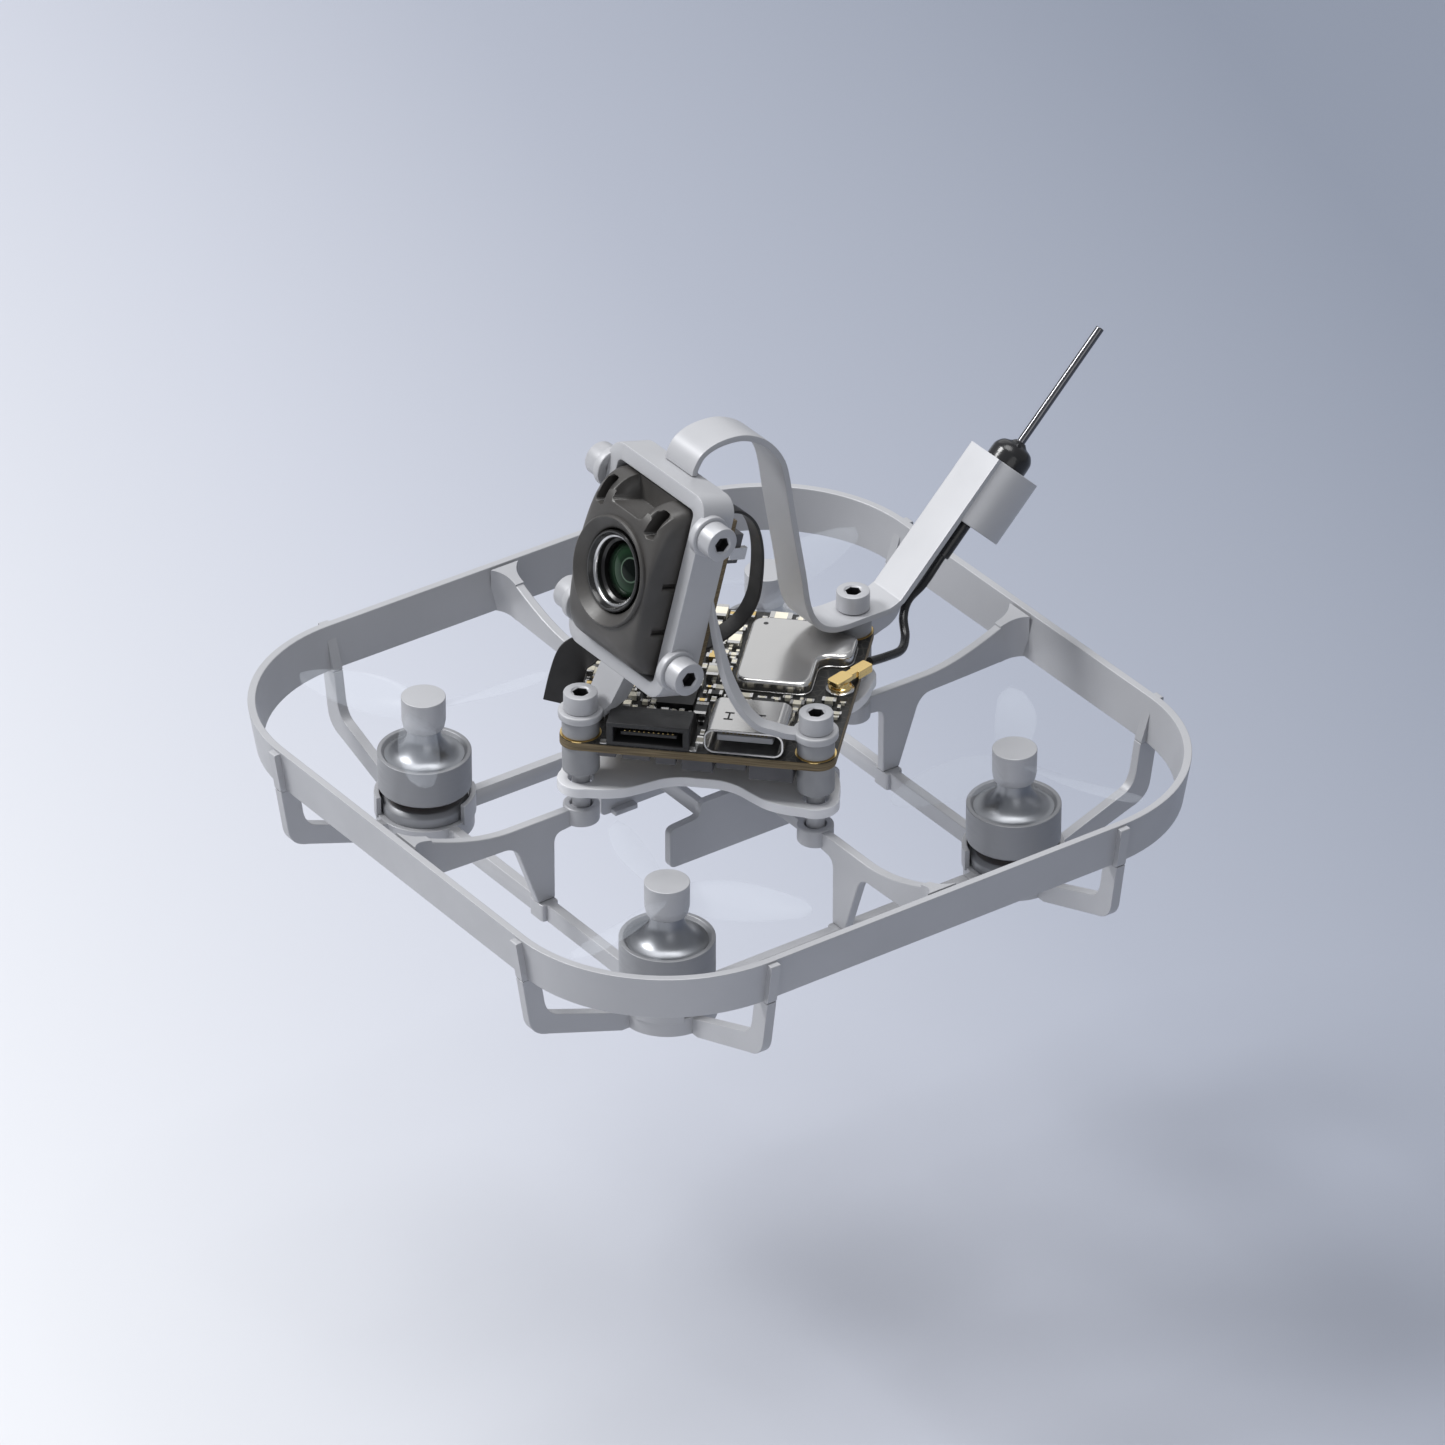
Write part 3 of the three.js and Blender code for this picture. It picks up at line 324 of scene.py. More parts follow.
def piece(name, part, material, nodes=(), body="root", bevel=0.0, origin=(0, 0, 0), slot=None, crease=38):
    """Makes one object of a part, gives it its bevel and its material, and hangs it on its body.

    Its slot is worked out from its material, unless one is given, but is not used.
    """
    points, faces = part
    origin = Vector(origin)
    mesh = bpy.data.meshes.new(name)
    mesh.from_pydata([(p - origin) * MM for p in points], [], faces)
    bm = bmesh.new()
    bm.from_mesh(mesh)
    bmesh.ops.recalc_face_normals(bm, faces=bm.faces[:])
    bm.to_mesh(mesh)
    bm.free()
    mesh.polygons.foreach_set("use_smooth", [True] * len(mesh.polygons))
    mesh.set_sharp_from_angle(angle=math.radians(crease))
    mesh.materials.append(material)
    made = bpy.data.objects.new(name, mesh)
    made.location = origin * MM + CENTRE
    bpy.context.scene.collection.objects.link(made)
    if bevel:
        rounding = made.modifiers.new("Edges", "BEVEL")
        rounding.width = bevel * MM
        rounding.segments = 3
        rounding.limit_method = "ANGLE"
        rounding.angle_limit = math.radians(35)
        rounding.harden_normals = True
    flatten(made)
    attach(made, body)
    if nodes:
        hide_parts(*([nodes] if isinstance(nodes, str) else nodes))
    slot = SLOT_OF[material.name] if slot is None else slot
    return made


# ---------------------------------------------------------------- materials

class Paint:
    """A Principled material with a few procedural layers."""

    def __init__(self, name, color, roughness, metallic=0.0, **sockets):
        self.material = bpy.data.materials.new(name)
        self.material.use_nodes = True
        self.nodes = self.material.node_tree.nodes
        self.links = self.material.node_tree.links
        self.shader = self.nodes["Principled BSDF"]
        self.shader.inputs["Base Color"].default_value = (*color, 1)
        self.shader.inputs["Roughness"].default_value = roughness
        self.shader.inputs["Metallic"].default_value = metallic
        for socket, value in sockets.items():
            self.shader.inputs[socket.replace("_", " ")].default_value = value
        self.place = self.nodes.new("ShaderNodeTexCoord").outputs["Object"]
        self.normal = None

    def node(self, kind, **inputs):
        """A new node, with some of its inputs set."""
        made = self.nodes.new("ShaderNode" + kind)
        for socket, value in inputs.items():
            made.inputs[socket.replace("_", " ")].default_value = value
        return made

    def noise(self, scale, detail=4.0, stretch=(1, 1, 1)):
        """Noise whose scale counts features across a metre."""
        mapping = self.node("Mapping", Scale=stretch)
        texture = self.node("TexNoise", Scale=scale, Detail=detail)
        self.links.new(self.place, mapping.inputs["Vector"])
        self.links.new(mapping.outputs["Vector"], texture.inputs["Vector"])
        return texture.outputs["Fac"]

    def ramp(self, value, stops):
        ramp = self.node("ValToRGB")
        ramp.color_ramp.elements.remove(ramp.color_ramp.elements[1])
        for i, (place, color) in enumerate(stops):
            stop = ramp.color_ramp.elements[0] if i == 0 else ramp.color_ramp.elements.new(place)
            stop.position = place
            stop.color = (*color, 1)
        self.links.new(value, ramp.inputs["Fac"])
        return ramp.outputs["Color"]

    def span(self, value, low, high, start=0.0, end=1.0):
        """Maps a value from start..end onto low..high."""
        scaled = self.node("MapRange", From_Min=start, From_Max=end, To_Min=low, To_Max=high)
        self.links.new(value, scaled.inputs["Value"])
        return scaled.outputs["Result"]

    def color(self, value):
        self.links.new(value, self.shader.inputs["Base Color"])
        return self

    def mottle(self, scale, dark, light):
        """Colour that drifts between two shades."""
        return self.color(self.ramp(self.noise(scale), [(0.3, dark), (0.7, light)]))

    def polish(self, scale, low, high, stretch=(1, 1, 1)):
        """Roughness that drifts between two values."""
        drift = self.span(self.noise(scale, 5.0, stretch), low, high, 0.3, 0.7)
        self.links.new(drift, self.shader.inputs["Roughness"])
        return self

    def bump(self, value, strength, height):
        """Raises the surface by value times height, which is in millimetres."""
        bump = self.node("Bump", Strength=strength, Distance=height * MM)
        self.links.new(value, bump.inputs["Height"])
        if self.normal:
            self.links.new(self.normal, bump.inputs["Normal"])
        self.normal = bump.outputs["Normal"]
        self.links.new(self.normal, self.shader.inputs["Normal"])
        return self

    def radius(self, middle):
        """The distance from a line along the object's own Z, through middle in X and Y, in metres."""
        apart = self.node("SeparateXYZ")
        flat = self.node("CombineXYZ")
        length = self.node("VectorMath")
        length.operation = "DISTANCE"
        length.inputs[1].default_value = (*middle, 0)
        self.links.new(self.place, apart.inputs["Vector"])
        self.links.new(apart.outputs["X"], flat.inputs["X"])
        self.links.new(apart.outputs["Y"], flat.inputs["Y"])
        self.links.new(flat.outputs["Vector"], length.inputs[0])
        return length.outputs["Value"]


def moulding(name, shade, roughness, metallic):
    """Satin silver: a fine grain, a slow drift of shade and a faint flow in the polish."""
    tint = lambda gain: tuple(min(1.0, c * gain) for c in shade)
    paint = Paint(name, shade, roughness, metallic)
    paint.mottle(90, tint(0.96), tint(1.03)).polish(260, roughness - 0.05, roughness + 0.06)
    return paint.bump(paint.noise(5200, 2.0), 0.12, 0.02).material


def machined(name, shade, roughness):
    """Turned metal, with fine rings about the object's own axis."""
    paint = Paint(name, shade, roughness, 0.3)
    paint.polish(420, roughness - 0.05, roughness + 0.08, (1, 1, 6))
    return paint.bump(paint.noise(2600, 2.0, (0.2, 0.2, 5)), 0.10, 0.02).material


def moulded_black(name, shade, roughness, grain=4200):
    tint = lambda gain: tuple(c * gain for c in shade)
    paint = Paint(name, shade, roughness)
    paint.mottle(160, tint(0.8), tint(1.25)).polish(500, roughness - 0.06, roughness + 0.08)
    return paint.bump(paint.noise(grain, 3.0), 0.25, 0.03).material


def glass_with_painted_glint():
    """Dark glass whose coating reflects green. Its colour paints the glint of an element deeper in as a thin
    bright ring, with a band of painted green reflection about it.
    """
    paint = Paint("lens coating with painted glint", (0.004, 0.005, 0.005), 0.04, 0.0, Specular_Tint=(0.07, 0.15, 0.09, 1))
    # Painted highlight and reflection: a bright ring about a point off the axis, then a band of green.
    rings = paint.span(paint.radius((-0.0006, 0.0013)), 0.0, 1.0, 0.0, 0.0045)
    paint.color(paint.ramp(rings, [
        (0.0, (0.003, 0.004, 0.004)), (0.26, (0.003, 0.004, 0.004)), (0.29, (0.10, 0.15, 0.11)),
        (0.32, (0.006, 0.014, 0.008)), (0.50, (0.010, 0.032, 0.014)), (0.8, (0.003, 0.006, 0.004)),
    ]))
    return paint.material


def blade_material():
    """Clear plastic with a cold tint and slight moulding flow."""
    paint = Paint("clear blade", (0.72, 0.77, 0.85), 0.2, 0.0, Alpha=0.07, IOR=1.4)
    paint.polish(300, 0.1, 0.22)
    return paint.material


def board_material():
    """Black solder mask over a faint relief of tracks."""
    paint = Paint("solder mask", (0.012, 0.012, 0.012), 0.4)
    cells = paint.node("TexVoronoi", Scale=900)
    cells.feature = "DISTANCE_TO_EDGE"
    paint.links.new(paint.place, cells.inputs["Vector"])
    tracks = paint.span(cells.outputs["Distance"], 1.0, 0.0, 0.02, 0.06)
    paint.color(paint.ramp(tracks, [(0.0, (0.008, 0.008, 0.008)), (1.0, (0.035, 0.033, 0.028))]))
    return paint.bump(tracks, 0.4, 0.03).material


def edge_material():
    """Cut glass fibre, in thin layers."""
    paint = Paint("board edge", (0.15, 0.11, 0.055), 0.6)
    layers = paint.noise(2600, 2.0, (0.1, 0.1, 3))
    return paint.color(paint.ramp(layers, [(0.35, (0.09, 0.065, 0.03)), (0.65, (0.20, 0.15, 0.08))])).material


def plated(name, shade, roughness):
    paint = Paint(name, shade, roughness, 1.0)
    paint.polish(300, roughness - 0.03, roughness + 0.04)
    return paint.bump(paint.noise(500, 2.0), 0.02, 0.05).material


SILVER = moulding("frame silver", (0.43, 0.435, 0.455), 0.40, 0.20)
CANOPY = moulding("canopy silver", (0.46, 0.465, 0.485), 0.42, 0.15)
ALLOY = machined("motor alloy", (0.26, 0.265, 0.28), 0.42)
DISH = plated("polished dish", (0.31, 0.32, 0.34), 0.36)
SCREW = machined("screw steel", (0.45, 0.455, 0.475), 0.44)
# A flat black that paints shade: it lines the screw sockets and fills the punched cuts in the USB shell.
PAINTED_SHADE_BLACK = moulded_black("painted shade black", (0.012, 0.012, 0.013), 0.5)
STEEL = plated("ground steel", (0.62, 0.62, 0.63), 0.22)
COPPER = plated("enamelled copper", (0.30, 0.12, 0.05), 0.35)
GROMMET = moulded_black("grommet rubber", (0.27, 0.275, 0.29), 0.5)
TIN = plated("tin plate", (0.70, 0.69, 0.675), 0.22)
GOLD = plated("gold plate", (0.90, 0.66, 0.28), 0.18)
CHIP = moulded_black("chip black", (0.02, 0.02, 0.021), 0.45)
UNDERCHIP = moulded_black("chip grey", (0.075, 0.075, 0.082), 0.5)
CREAM = moulded_black("ceramic cream", (0.74, 0.70, 0.58), 0.40)
HOUSING = moulded_black("camera housing", (0.058, 0.055, 0.052), 0.42)
BARREL = moulded_black("lens barrel", (0.010, 0.010, 0.010), 0.22)
COLLAR = moulded_black("collar rubber", (0.018, 0.018, 0.019), 0.18)
ROD = plated("dark rod", (0.16, 0.16, 0.17), 0.2)
LEAD = moulded_black("lead jacket", (0.014, 0.014, 0.015), 0.24)
RIBBON = moulded_black("flat cable", (0.020, 0.019, 0.019), 0.5)
# The controller's grey is much lighter than the frame's silver. This is painted light that makes up for the
# shade it lies in under the video board.
CONTROLLER = moulding("controller grey", (0.74, 0.745, 0.77), 0.42, 0.0)
MASK = board_material()
EDGE = edge_material()
GLASS = glass_with_painted_glint()
BLADE = blade_material()

# The slot that each material belongs to.
SLOTS = {
    "frame_silver": (SILVER,), "canopy_silver": (CANOPY,), "motor_alloy": (ALLOY, DISH),
    "screw_steel": (SCREW,), "connector_black": (PAINTED_SHADE_BLACK, CHIP, UNDERCHIP), "shaft_steel": (STEEL,),
    "winding_copper": (COPPER,), "grommet_grey": (GROMMET,), "plated_steel": (TIN,),
    "contact_gold": (GOLD,), "board_black": (CREAM, MASK, EDGE), "camera_dark": (HOUSING,),
    "lens_glass": (BARREL, GLASS), "antenna_black": (COLLAR, ROD), "lead_black": (LEAD,),
    "ribbon_black": (RIBBON,), "controller_grey": (CONTROLLER,), "blade_clear": (BLADE,),
}
SLOT_OF = {material.name: slot for slot, materials in SLOTS.items() for material in materials}


# ---------------------------------------------------------------- duct ring

def lean(height):
    """How far the ring's wall has leaned in at a height."""
    return RING_FLARE * (RING_TOP - height) / (RING_TOP - RING_BOTTOM)


def duct_ring():
    profile = soften([(0, RING_TOP), (RING_WALL, RING_TOP), (RING_FLARE + RING_WALL, RING_BOTTOM),
                      (RING_FLARE, RING_BOTTOM)], 0.12, steps=3)
    rows = []
    for inset, height in profile:
        half = RING_HALF - inset
        outline = rounded(-half, half, -half, half, RING_CORNER - inset, 24)
        rows.append([(x, y, height) for x, y in outline])
    return loft(rows, closed=True)


def post_pad(side):
    """The pad outside the ring's wall that a post rises into."""
    top = RING_TOP - 0.25
    out = lambda height: RING_HALF + POST_OUT - lean(height)
    low, foot = RING_BOTTOM + STEP, out(RING_BOTTOM)
    outline = [(foot - POST_WIDTH, low), (foot, low), (out(top), top), (out(top) - 1.4, top)]
    return upright(soften(outline, 0.25), RAIL_THICK, side * MOTOR)


def web_root():
    """The flare where a web meets the ring: as thick as the web inside, twice that at the wall."""
    outer = RING_HALF - RING_FLARE - RING_WALL / 2
    rows = []
    for k in range(9):
        t = k / 8
        x = outer - 3.0 * (1 - t)
        half = WEB_THICK / 2 + 1.3 * t ** 3
        low = RING_BOTTOM - 0.35 * (1 - t)
        high = RING_TOP - 0.9 * (1 - t) - 0.12
        rows.append([(x, half, low), (x, half, high), (x, -half, high), (x, -half, low)])
    return loft(rows)


ring_parts = [duct_ring()]
for degrees in QUARTERS.values():
    for part in (web_root(), post_pad(1), post_pad(-1)):
        ring_parts.append(moved(part, turn(degrees)))
piece("ring_moulding", merge(*ring_parts), SILVER, "duct_ring", bevel=0.16)

# ---------------------------------------------------------------- webs

ROOT_INNER = RING_HALF - RING_FLARE - RING_WALL - 1.8
LEG = {"inner": 21.9, "outer_top": 27.3, "outer_foot": 24.1}


def quadratic(start, control, end, steps=8):
    start, control, end = Vector(start), Vector(control), Vector(end)
    return [start * (1 - t) ** 2 + control * 2 * t * (1 - t) + end * t ** 2
            for t in (k / steps for k in range(steps + 1))]


def web_outline():
    """A web from the ring down to its boss, and the leg that it stands on."""
    under = 10.3
    return [
        *quadratic((ROOT_INNER, RING_TOP - 0.9), (32.0, WEB_TOP), (27.6, WEB_TOP), 12),
        Vector((HOLE, WEB_TOP)), Vector((HOLE, BOSS_BOTTOM + STEP)),
        *quadratic((LEG["inner"] - 1.2, 10.2), (LEG["inner"], 10.2), (LEG["inner"], 8.9)),
        Vector((LEG["inner"], RAIL_TOP)), Vector((LEG["outer_foot"], RAIL_TOP)),
        *quadratic((LEG["outer_top"] - 0.8, 8.9), (LEG["outer_top"] - 0.2, under),
                   (LEG["outer_top"] + 1.2, under)),
        *quadratic((LEG["outer_top"] + 1.3, under), (33.0, under + 0.1),
                   (ROOT_INNER, RING_BOTTOM - 0.35), 12),
    ]


for name, degrees in QUARTERS.items():
    boss = ring(CLEARANCE, 2.0, BOSS_BOTTOM, BOSS_TOP, 0.22, 48)
    parts = [upright(web_outline(), WEB_THICK), moved(boss, shift(HOLE))]
    if name in ("left", "right"):
        low, high = BOSS_BOTTOM + STEP, BOSS_TOP - 0.6
        parts.append(upright([(7, low), (HOLE, low), (HOLE, high), (7, high)], WEB_THICK - STEP))
    piece(f"web_moulding_{name}", moved(merge(*parts), turn(degrees)), SILVER, f"web_{name}", bevel=0.16)

# ---------------------------------------------------------------- rails and motor mounts

MOUNT = {"radius": 5.4, "stub": 6.3, "rim": 4.7, "hole": 1.6, "screw_circle": 3.1, "screw_hole": 1.1,
         "lug_inner": 5.0, "lug_outer": 5.6, "lug_top": 4.2}


def rail():
    reach = MOTOR - MOUNT["stub"]
    half = RAIL_THICK / 2
    return merge(block(MOTOR - half, MOTOR + half, -reach, reach, 0, RAIL_TOP),
                 block(LEG["inner"], LEG["outer_foot"], -1.3, 1.3, STEP, RAIL_TOP - STEP, 0.4))


def arm():
    """An arm runs out from the motor, climbs, and turns up as a post under the ring."""
    out = lambda height: RING_HALF + POST_OUT - lean(height) - MOTOR
    inner = lambda height: out(height) - POST_WIDTH
    corner, elbow = 5.8, 7.4
    stub = MOUNT["stub"]
    outline = [
        Vector((0, STEP)), Vector((stub, STEP)),
        *quadratic((out(corner) - 2.6, 3.2), (out(corner) - 0.3, 3.7), (out(corner), corner)),
        Vector((out(RING_BOTTOM), RING_BOTTOM)), Vector((inner(RING_BOTTOM), RING_BOTTOM)),
        *quadratic((inner(elbow), elbow), (inner(corner) - 0.1, corner), (inner(corner) - 1.3, 5.35)),
        Vector((stub - 0.6, RAIL_TOP - STEP)), Vector((0, RAIL_TOP - STEP)),
    ]
    return upright(outline, RAIL_THICK)


def lug():
    """A short curved wall beside the motor's base."""
    spread = [math.radians(-29 + 58 * k / 10) for k in range(11)]
    outer, inner = MOUNT["lug_outer"], MOUNT["lug_inner"]
    outline = [(outer * math.cos(a), outer * math.sin(a)) for a in spread]
    outline += [(inner * math.cos(a), inner * math.sin(a)) for a in reversed(spread)]
    return prism(outline, RAIL_TOP - 0.4, MOUNT["lug_top"])


def screw_places():
    return [(MOUNT["screw_circle"] * math.cos(a), MOUNT["screw_circle"] * math.sin(a))
            for a in (math.radians(45 + 120 * k) for k in range(3))]


def motor_mount():
    """A round plate with its screw holes, two arms, two stubs for the rails and two lugs."""
    holes = [circle(MOUNT["hole"]), *[circle(MOUNT["screw_hole"], x, y, 28) for x, y in screw_places()]]
    plate = holed_plate(circle(MOUNT["radius"], sides=72), holes, 0, RAIL_TOP)
    half, stub, rim = RAIL_THICK / 2, MOUNT["stub"], MOUNT["rim"]
    return merge(plate, arm_outside_plate(0), arm_outside_plate(90),
                 moved(lug(), turn(45)), moved(lug(), turn(225)),
                 block(-stub, -rim, -half, half, STEP, RAIL_TOP - STEP),
                 block(-half, half, -stub, -rim, STEP, RAIL_TOP - STEP))


def arm_outside_plate(degrees):
    """The arm, starting just inside the rim of the mount's plate."""
    points, faces = arm()
    points = [Vector((max(p.x, MOUNT["rim"]), p.y, p.z)) for p in points]
    return moved((points, faces), turn(degrees))


def motor_screws():
    """Three small screws, sunk in the underside of the mount, that hold the motor."""
    profile = [(0, 0.6), (0.45, 0.6, 1), (0.45, 0.15, 1), (0.85, 0.15), (0.97, 0.27), (0.97, RAIL_TOP - 0.15),
               (0, RAIL_TOP - 0.15)]
    return merge(*[moved(lathe(profile, 36), shift(x, y)) for x, y in screw_places()])


for name, degrees in QUARTERS.items():
    piece(f"rail_moulding_{name}", moved(rail(), turn(degrees)), SILVER, f"rail_{name}", bevel=0.16)
for name, degrees in CORNERS.items():
    piece(f"mount_moulding_{name}", moved(motor_mount(), shift(MOTOR, MOTOR), turn(degrees)), SILVER,
          f"motor_mount_{name}", bevel=0.16)
    piece(f"motor_screws_{name}", moved(motor_screws(), shift(MOTOR, MOTOR), turn(degrees)), SCREW, crease=25)

# ---------------------------------------------------------------- battery cage

CAGE = {"half": 6.5, "wall": 1.0, "finger": 10.0, "strap": 7.3, "long": 11.3, "strap_thick": 0.9}


def cage_wall(side):
    long, strap, finger = CAGE["long"], CAGE["strap"], CAGE["finger"]
    low, high = CAGE_LOW.z, CAGE_HIGH.z
    half = [(long, low), (long, finger), (strap, finger + 0.3), (strap, high)]
    outline = half + [(-x, z) for x, z in reversed(half)]
    return upright(soften(outline, 0.8), CAGE["wall"], side * CAGE["half"])


def battery_cage():
    parts = [cage_wall(1), cage_wall(-1)]
    half, strap, thick = CAGE["half"], CAGE["strap"], CAGE["strap_thick"]
    for end in (1, -1):
        middle = end * (strap - thick / 2)
        parts.append(block(middle - thick / 2, middle + thick / 2 - STEP, -half, half, CAGE["finger"],
                           CAGE_HIGH.z - STEP))
        for side in (1, -1):
            parts.append(block(end * 8.5 - 1.5, end * 8.5 + 1.5, side * 5.6 - 0.5, side * 5.6 + 0.5,
                               CAGE_LOW.z + STEP, CAGE_LOW.z + 0.6))
    return merge(*parts)


piece("cage_moulding", battery_cage(), SILVER, "battery_cage", bevel=0.14)

# ---------------------------------------------------------------- motors

def motor_base():
    low, high = BASE_LOW.z, 3.7
    profile = [(0.95, low), (4.8, low), (4.8, high - 0.5), (4.3, high), (1.6, high),
               (1.6, BASE_HIGH.z), (0.95, BASE_HIGH.z)]
    return lathe(soften(profile, 0.12, steps=2), 72, closed=True)


def bell():
    """The outer can: a straight wall with a bright rolled rim, and its edge turned in to the dish."""
    low, high, radius = BELL_LOW.z, 9.33, BELL_RADIUS
    profile = soften([(4.5, low), (radius - 0.35, low), (radius, low + 0.35), (radius, high), (4.7, high),
                      (4.42, 8.9), (3.9, 8.6), (4.5, 7.4)], 0.1, steps=3)
    return lathe(profile, 96, closed=True)


def dish():
    """The bell's floor, which sinks from the rim and climbs to the neck."""
    neck = HUB_BOTTOM
    top = smooth_line([(4.4, 8.95), (3.8, 9.05), (3.1, 9.4), (2.45, 10.1), (1.95, 11.0), (1.75, neck)], 6)
    profile = [(p.x, p.y) for p in top] + [(0.8, neck), (0.8, 8.05), (3.6, 7.75)]
    return lathe(profile, 96, closed=True)


def magnets():
    """Twelve magnets inside the bell's wall."""
    parts = []
    for k in range(12):
        magnet = block(4.22, 4.49, -0.85, 0.85, BELL_LOW.z + 0.15, 7.2, 0.05)
        parts.append(moved(magnet, turn(30 * k)))
    return merge(*parts)


def coils():
    """Nine wound teeth, each a rounded block of wire."""
    parts = []
    for k in range(9):
        coil = moved(prism(rounded(-0.95, 0.95, -0.35, 2.35, 0.5, 4), -0.8, 0.8), UPRIGHT,
                     turn(90, "Z"), shift(3.0, 0, 4.7))
        parts.append(moved(coil, turn(40 * k)))
    return merge(*parts)


def hub():
    low, high = HUB_BOTTOM, RING_TOP
    profile = soften([(0, low), (1.75, low), (2.25, low + 0.35), (2.42, low + 1.2), (2.45, high), (0, high)],
                     0.1, closed=False, steps=3)
    return lathe(profile, 72)


def blade(spin):
    """Thin sections, widest at mid-span, with less pitch towards the tip."""
    root, tip, height = 1.6, 15.5, 14.2
    root_pitch, tip_pitch = 0.62, 0.2
    root_thick, tip_thick = 0.8, 0.32
    stations, around = 22, 20
    rows = []
    for k in range(stations + 1):
        along = k / stations
        taper = math.sqrt(max(0.0, 1 - max(0.0, (along - 0.9) / 0.1) ** 2))
        chord = (2.4 + 2.6 * math.sin(math.pi * min(along * 0.9 + 0.12, 1))) * (0.25 + 0.75 * taper)
        pitch = spin * (root_pitch + (tip_pitch - root_pitch) * along)
        thick = root_thick + (tip_thick - root_thick) * along
        swept = -spin * 1.4 * along ** 2
        row = []
        for i in range(around):
            angle = 2 * math.pi * i / around
            wide = chord / 2 * math.cos(angle)
            up = thick / 2 * math.sin(angle) + 0.25 * (1 - (2 * wide / chord) ** 2)
            row.append((root + (tip - root) * along,
                        swept + wide * math.cos(pitch) - up * math.sin(pitch),
                        height + wide * math.sin(pitch) + up * math.cos(pitch)))
        rows.append(row)
    return loft(rows)


for name, degrees in CORNERS.items():
    axis = turn(degrees) @ Vector((MOTOR, MOTOR, 0))
    place = (shift(axis.x, axis.y),)
    rotor = f"rotor_{name}"
    piece(f"motor_foot_{name}", moved(motor_base(), *place), ALLOY, f"motor_base_{name}", origin=axis)
    piece(f"motor_coils_{name}", moved(coils(), *place), COPPER, f"motor_stator_{name}", bevel=0.1,
          origin=axis)
    piece(f"bell_can_{name}", moved(bell(), *place), ALLOY, f"motor_bell_{name}", rotor, origin=axis)
    piece(f"bell_dish_{name}", moved(dish(), *place), DISH, (), rotor, origin=axis)
    piece(f"bell_magnets_{name}", moved(magnets(), *place), STEEL, (), rotor, origin=axis)
    piece(f"propeller_hub_{name}", moved(hub(), *place), SCREW, f"propeller_{name}", rotor,
          origin=axis, slot="")
    for k in range(3):
        part = moved(blade(SPIN[name]), turn(120 * k + math.degrees(0.35) + degrees), *place)
        piece(f"propeller_blade_{name}_{k + 1}", part, BLADE, (), rotor, origin=axis)
    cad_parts[f"motor_shaft_{name}"].data.materials.clear()
    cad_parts[f"motor_shaft_{name}"].data.materials.append(STEEL)

# ---------------------------------------------------------------- board stack

# Half of one side of the controller, as (along, outward): straight by the pad, then in to a plateau.
CONTROLLER_SIDE = [(-9.6, 14.95), (-7.6, 14.3), (-5.8, 13.1), (-4.0, 11.8), (-2.1, 11.15), (0, 11.1)]


def controller_outline():
    """A square plate with a round pad at each screw, and sides that dip in between the pads."""
    pad, reach = 2.6, math.radians(66)
    side = CONTROLLER_SIDE + [(-u, v) for u, v in CONTROLLER_SIDE[-2::-1]]
    dips = [Vector((v - u, v + u)) / math.sqrt(2) for u, v in side]
    start = Vector((HOLE + pad * math.cos(reach), pad * math.sin(reach)))
    line = smooth_line([start, *dips, start.yx], 5)[1:-1]
    outline = []
    for quarter in range(4):
        spin = Matrix.Rotation(quarter * math.pi / 2, 2)
        for k in range(13):
            angle = -reach + 2 * reach * k / 12
            outline.append(spin @ Vector((HOLE + pad * math.cos(angle), pad * math.sin(angle))))
        outline += [spin @ p for p in line]
    return [(p.x, p.y) for p in outline]


def hole_outlines(radius):
    return [circle(radius, HOLE * math.cos(math.radians(d)), HOLE * math.sin(math.radians(d)))
            for d in QUARTERS.values()]


piece("controller_plate",
      holed_plate(controller_outline(), hole_outlines(1.4), CONTROLLER_LOW.z, CONTROLLER_HIGH.z),
      CONTROLLER, "flight_controller", bevel=0.12)

BOARD_HALF = 15.0
BOARD_HOLES = [(HOLE * math.cos(math.radians(d - 45)), HOLE * math.sin(math.radians(d - 45)))
               for d in QUARTERS.values()]
MASK_THICK = 0.09


def board_layer(low, high, hole_radius, inset=0.0):
    half = BOARD_HALF - inset
    outline = rounded(-half, half, -half, half, 2.0 - inset, 8)
    holes = [circle(hole_radius, x, y) for x, y in BOARD_HOLES]
    return moved(holed_plate(outline, holes, low, high), ON_BOARD)


piece("board_core", board_layer(BOARD_LOW.z, BOARD_TOP - MASK_THICK, 1.7), EDGE, "video_board")
piece("board_mask", board_layer(BOARD_TOP - MASK_THICK, BOARD_TOP, 2.1, 0.06), MASK)
rings = [moved(lathe([(1.72, BOARD_TOP - 0.1), (2.24, BOARD_TOP - 0.1), (2.24, BOARD_TOP + 0.02),
                      (1.72, BOARD_TOP + 0.02)], 48, closed=True), shift(x, y), ON_BOARD)
         for x, y in BOARD_HOLES]
piece("board_rings", merge(*rings), GOLD)

# ---------------------------------------------------------------- what stands on the video board

CAN = {"near": 1.8, "far": -11.8, "low": 2.0, "high": 10.4, "step_near": -4.6, "step_far": -9.9, "out": 14.0}
CAN_TOP = extent("shield_can")[1].z


def can_outline(grow=0.0):
    c = CAN
    sharp = [(c["far"] - grow, c["low"] - grow), (c["near"] + grow, c["low"] - grow),
             (c["near"] + grow, c["high"] + grow), (c["step_near"] + grow, c["high"] + grow),
             (c["step_near"] + grow, c["out"] + grow), (c["step_far"] - grow, c["out"] + grow),
             (c["step_far"] - grow, c["high"] + grow), (c["far"] - grow, c["high"] + grow)]
    return [(p.x, p.y) for p in soften(sharp, 1.6, steps=8)]


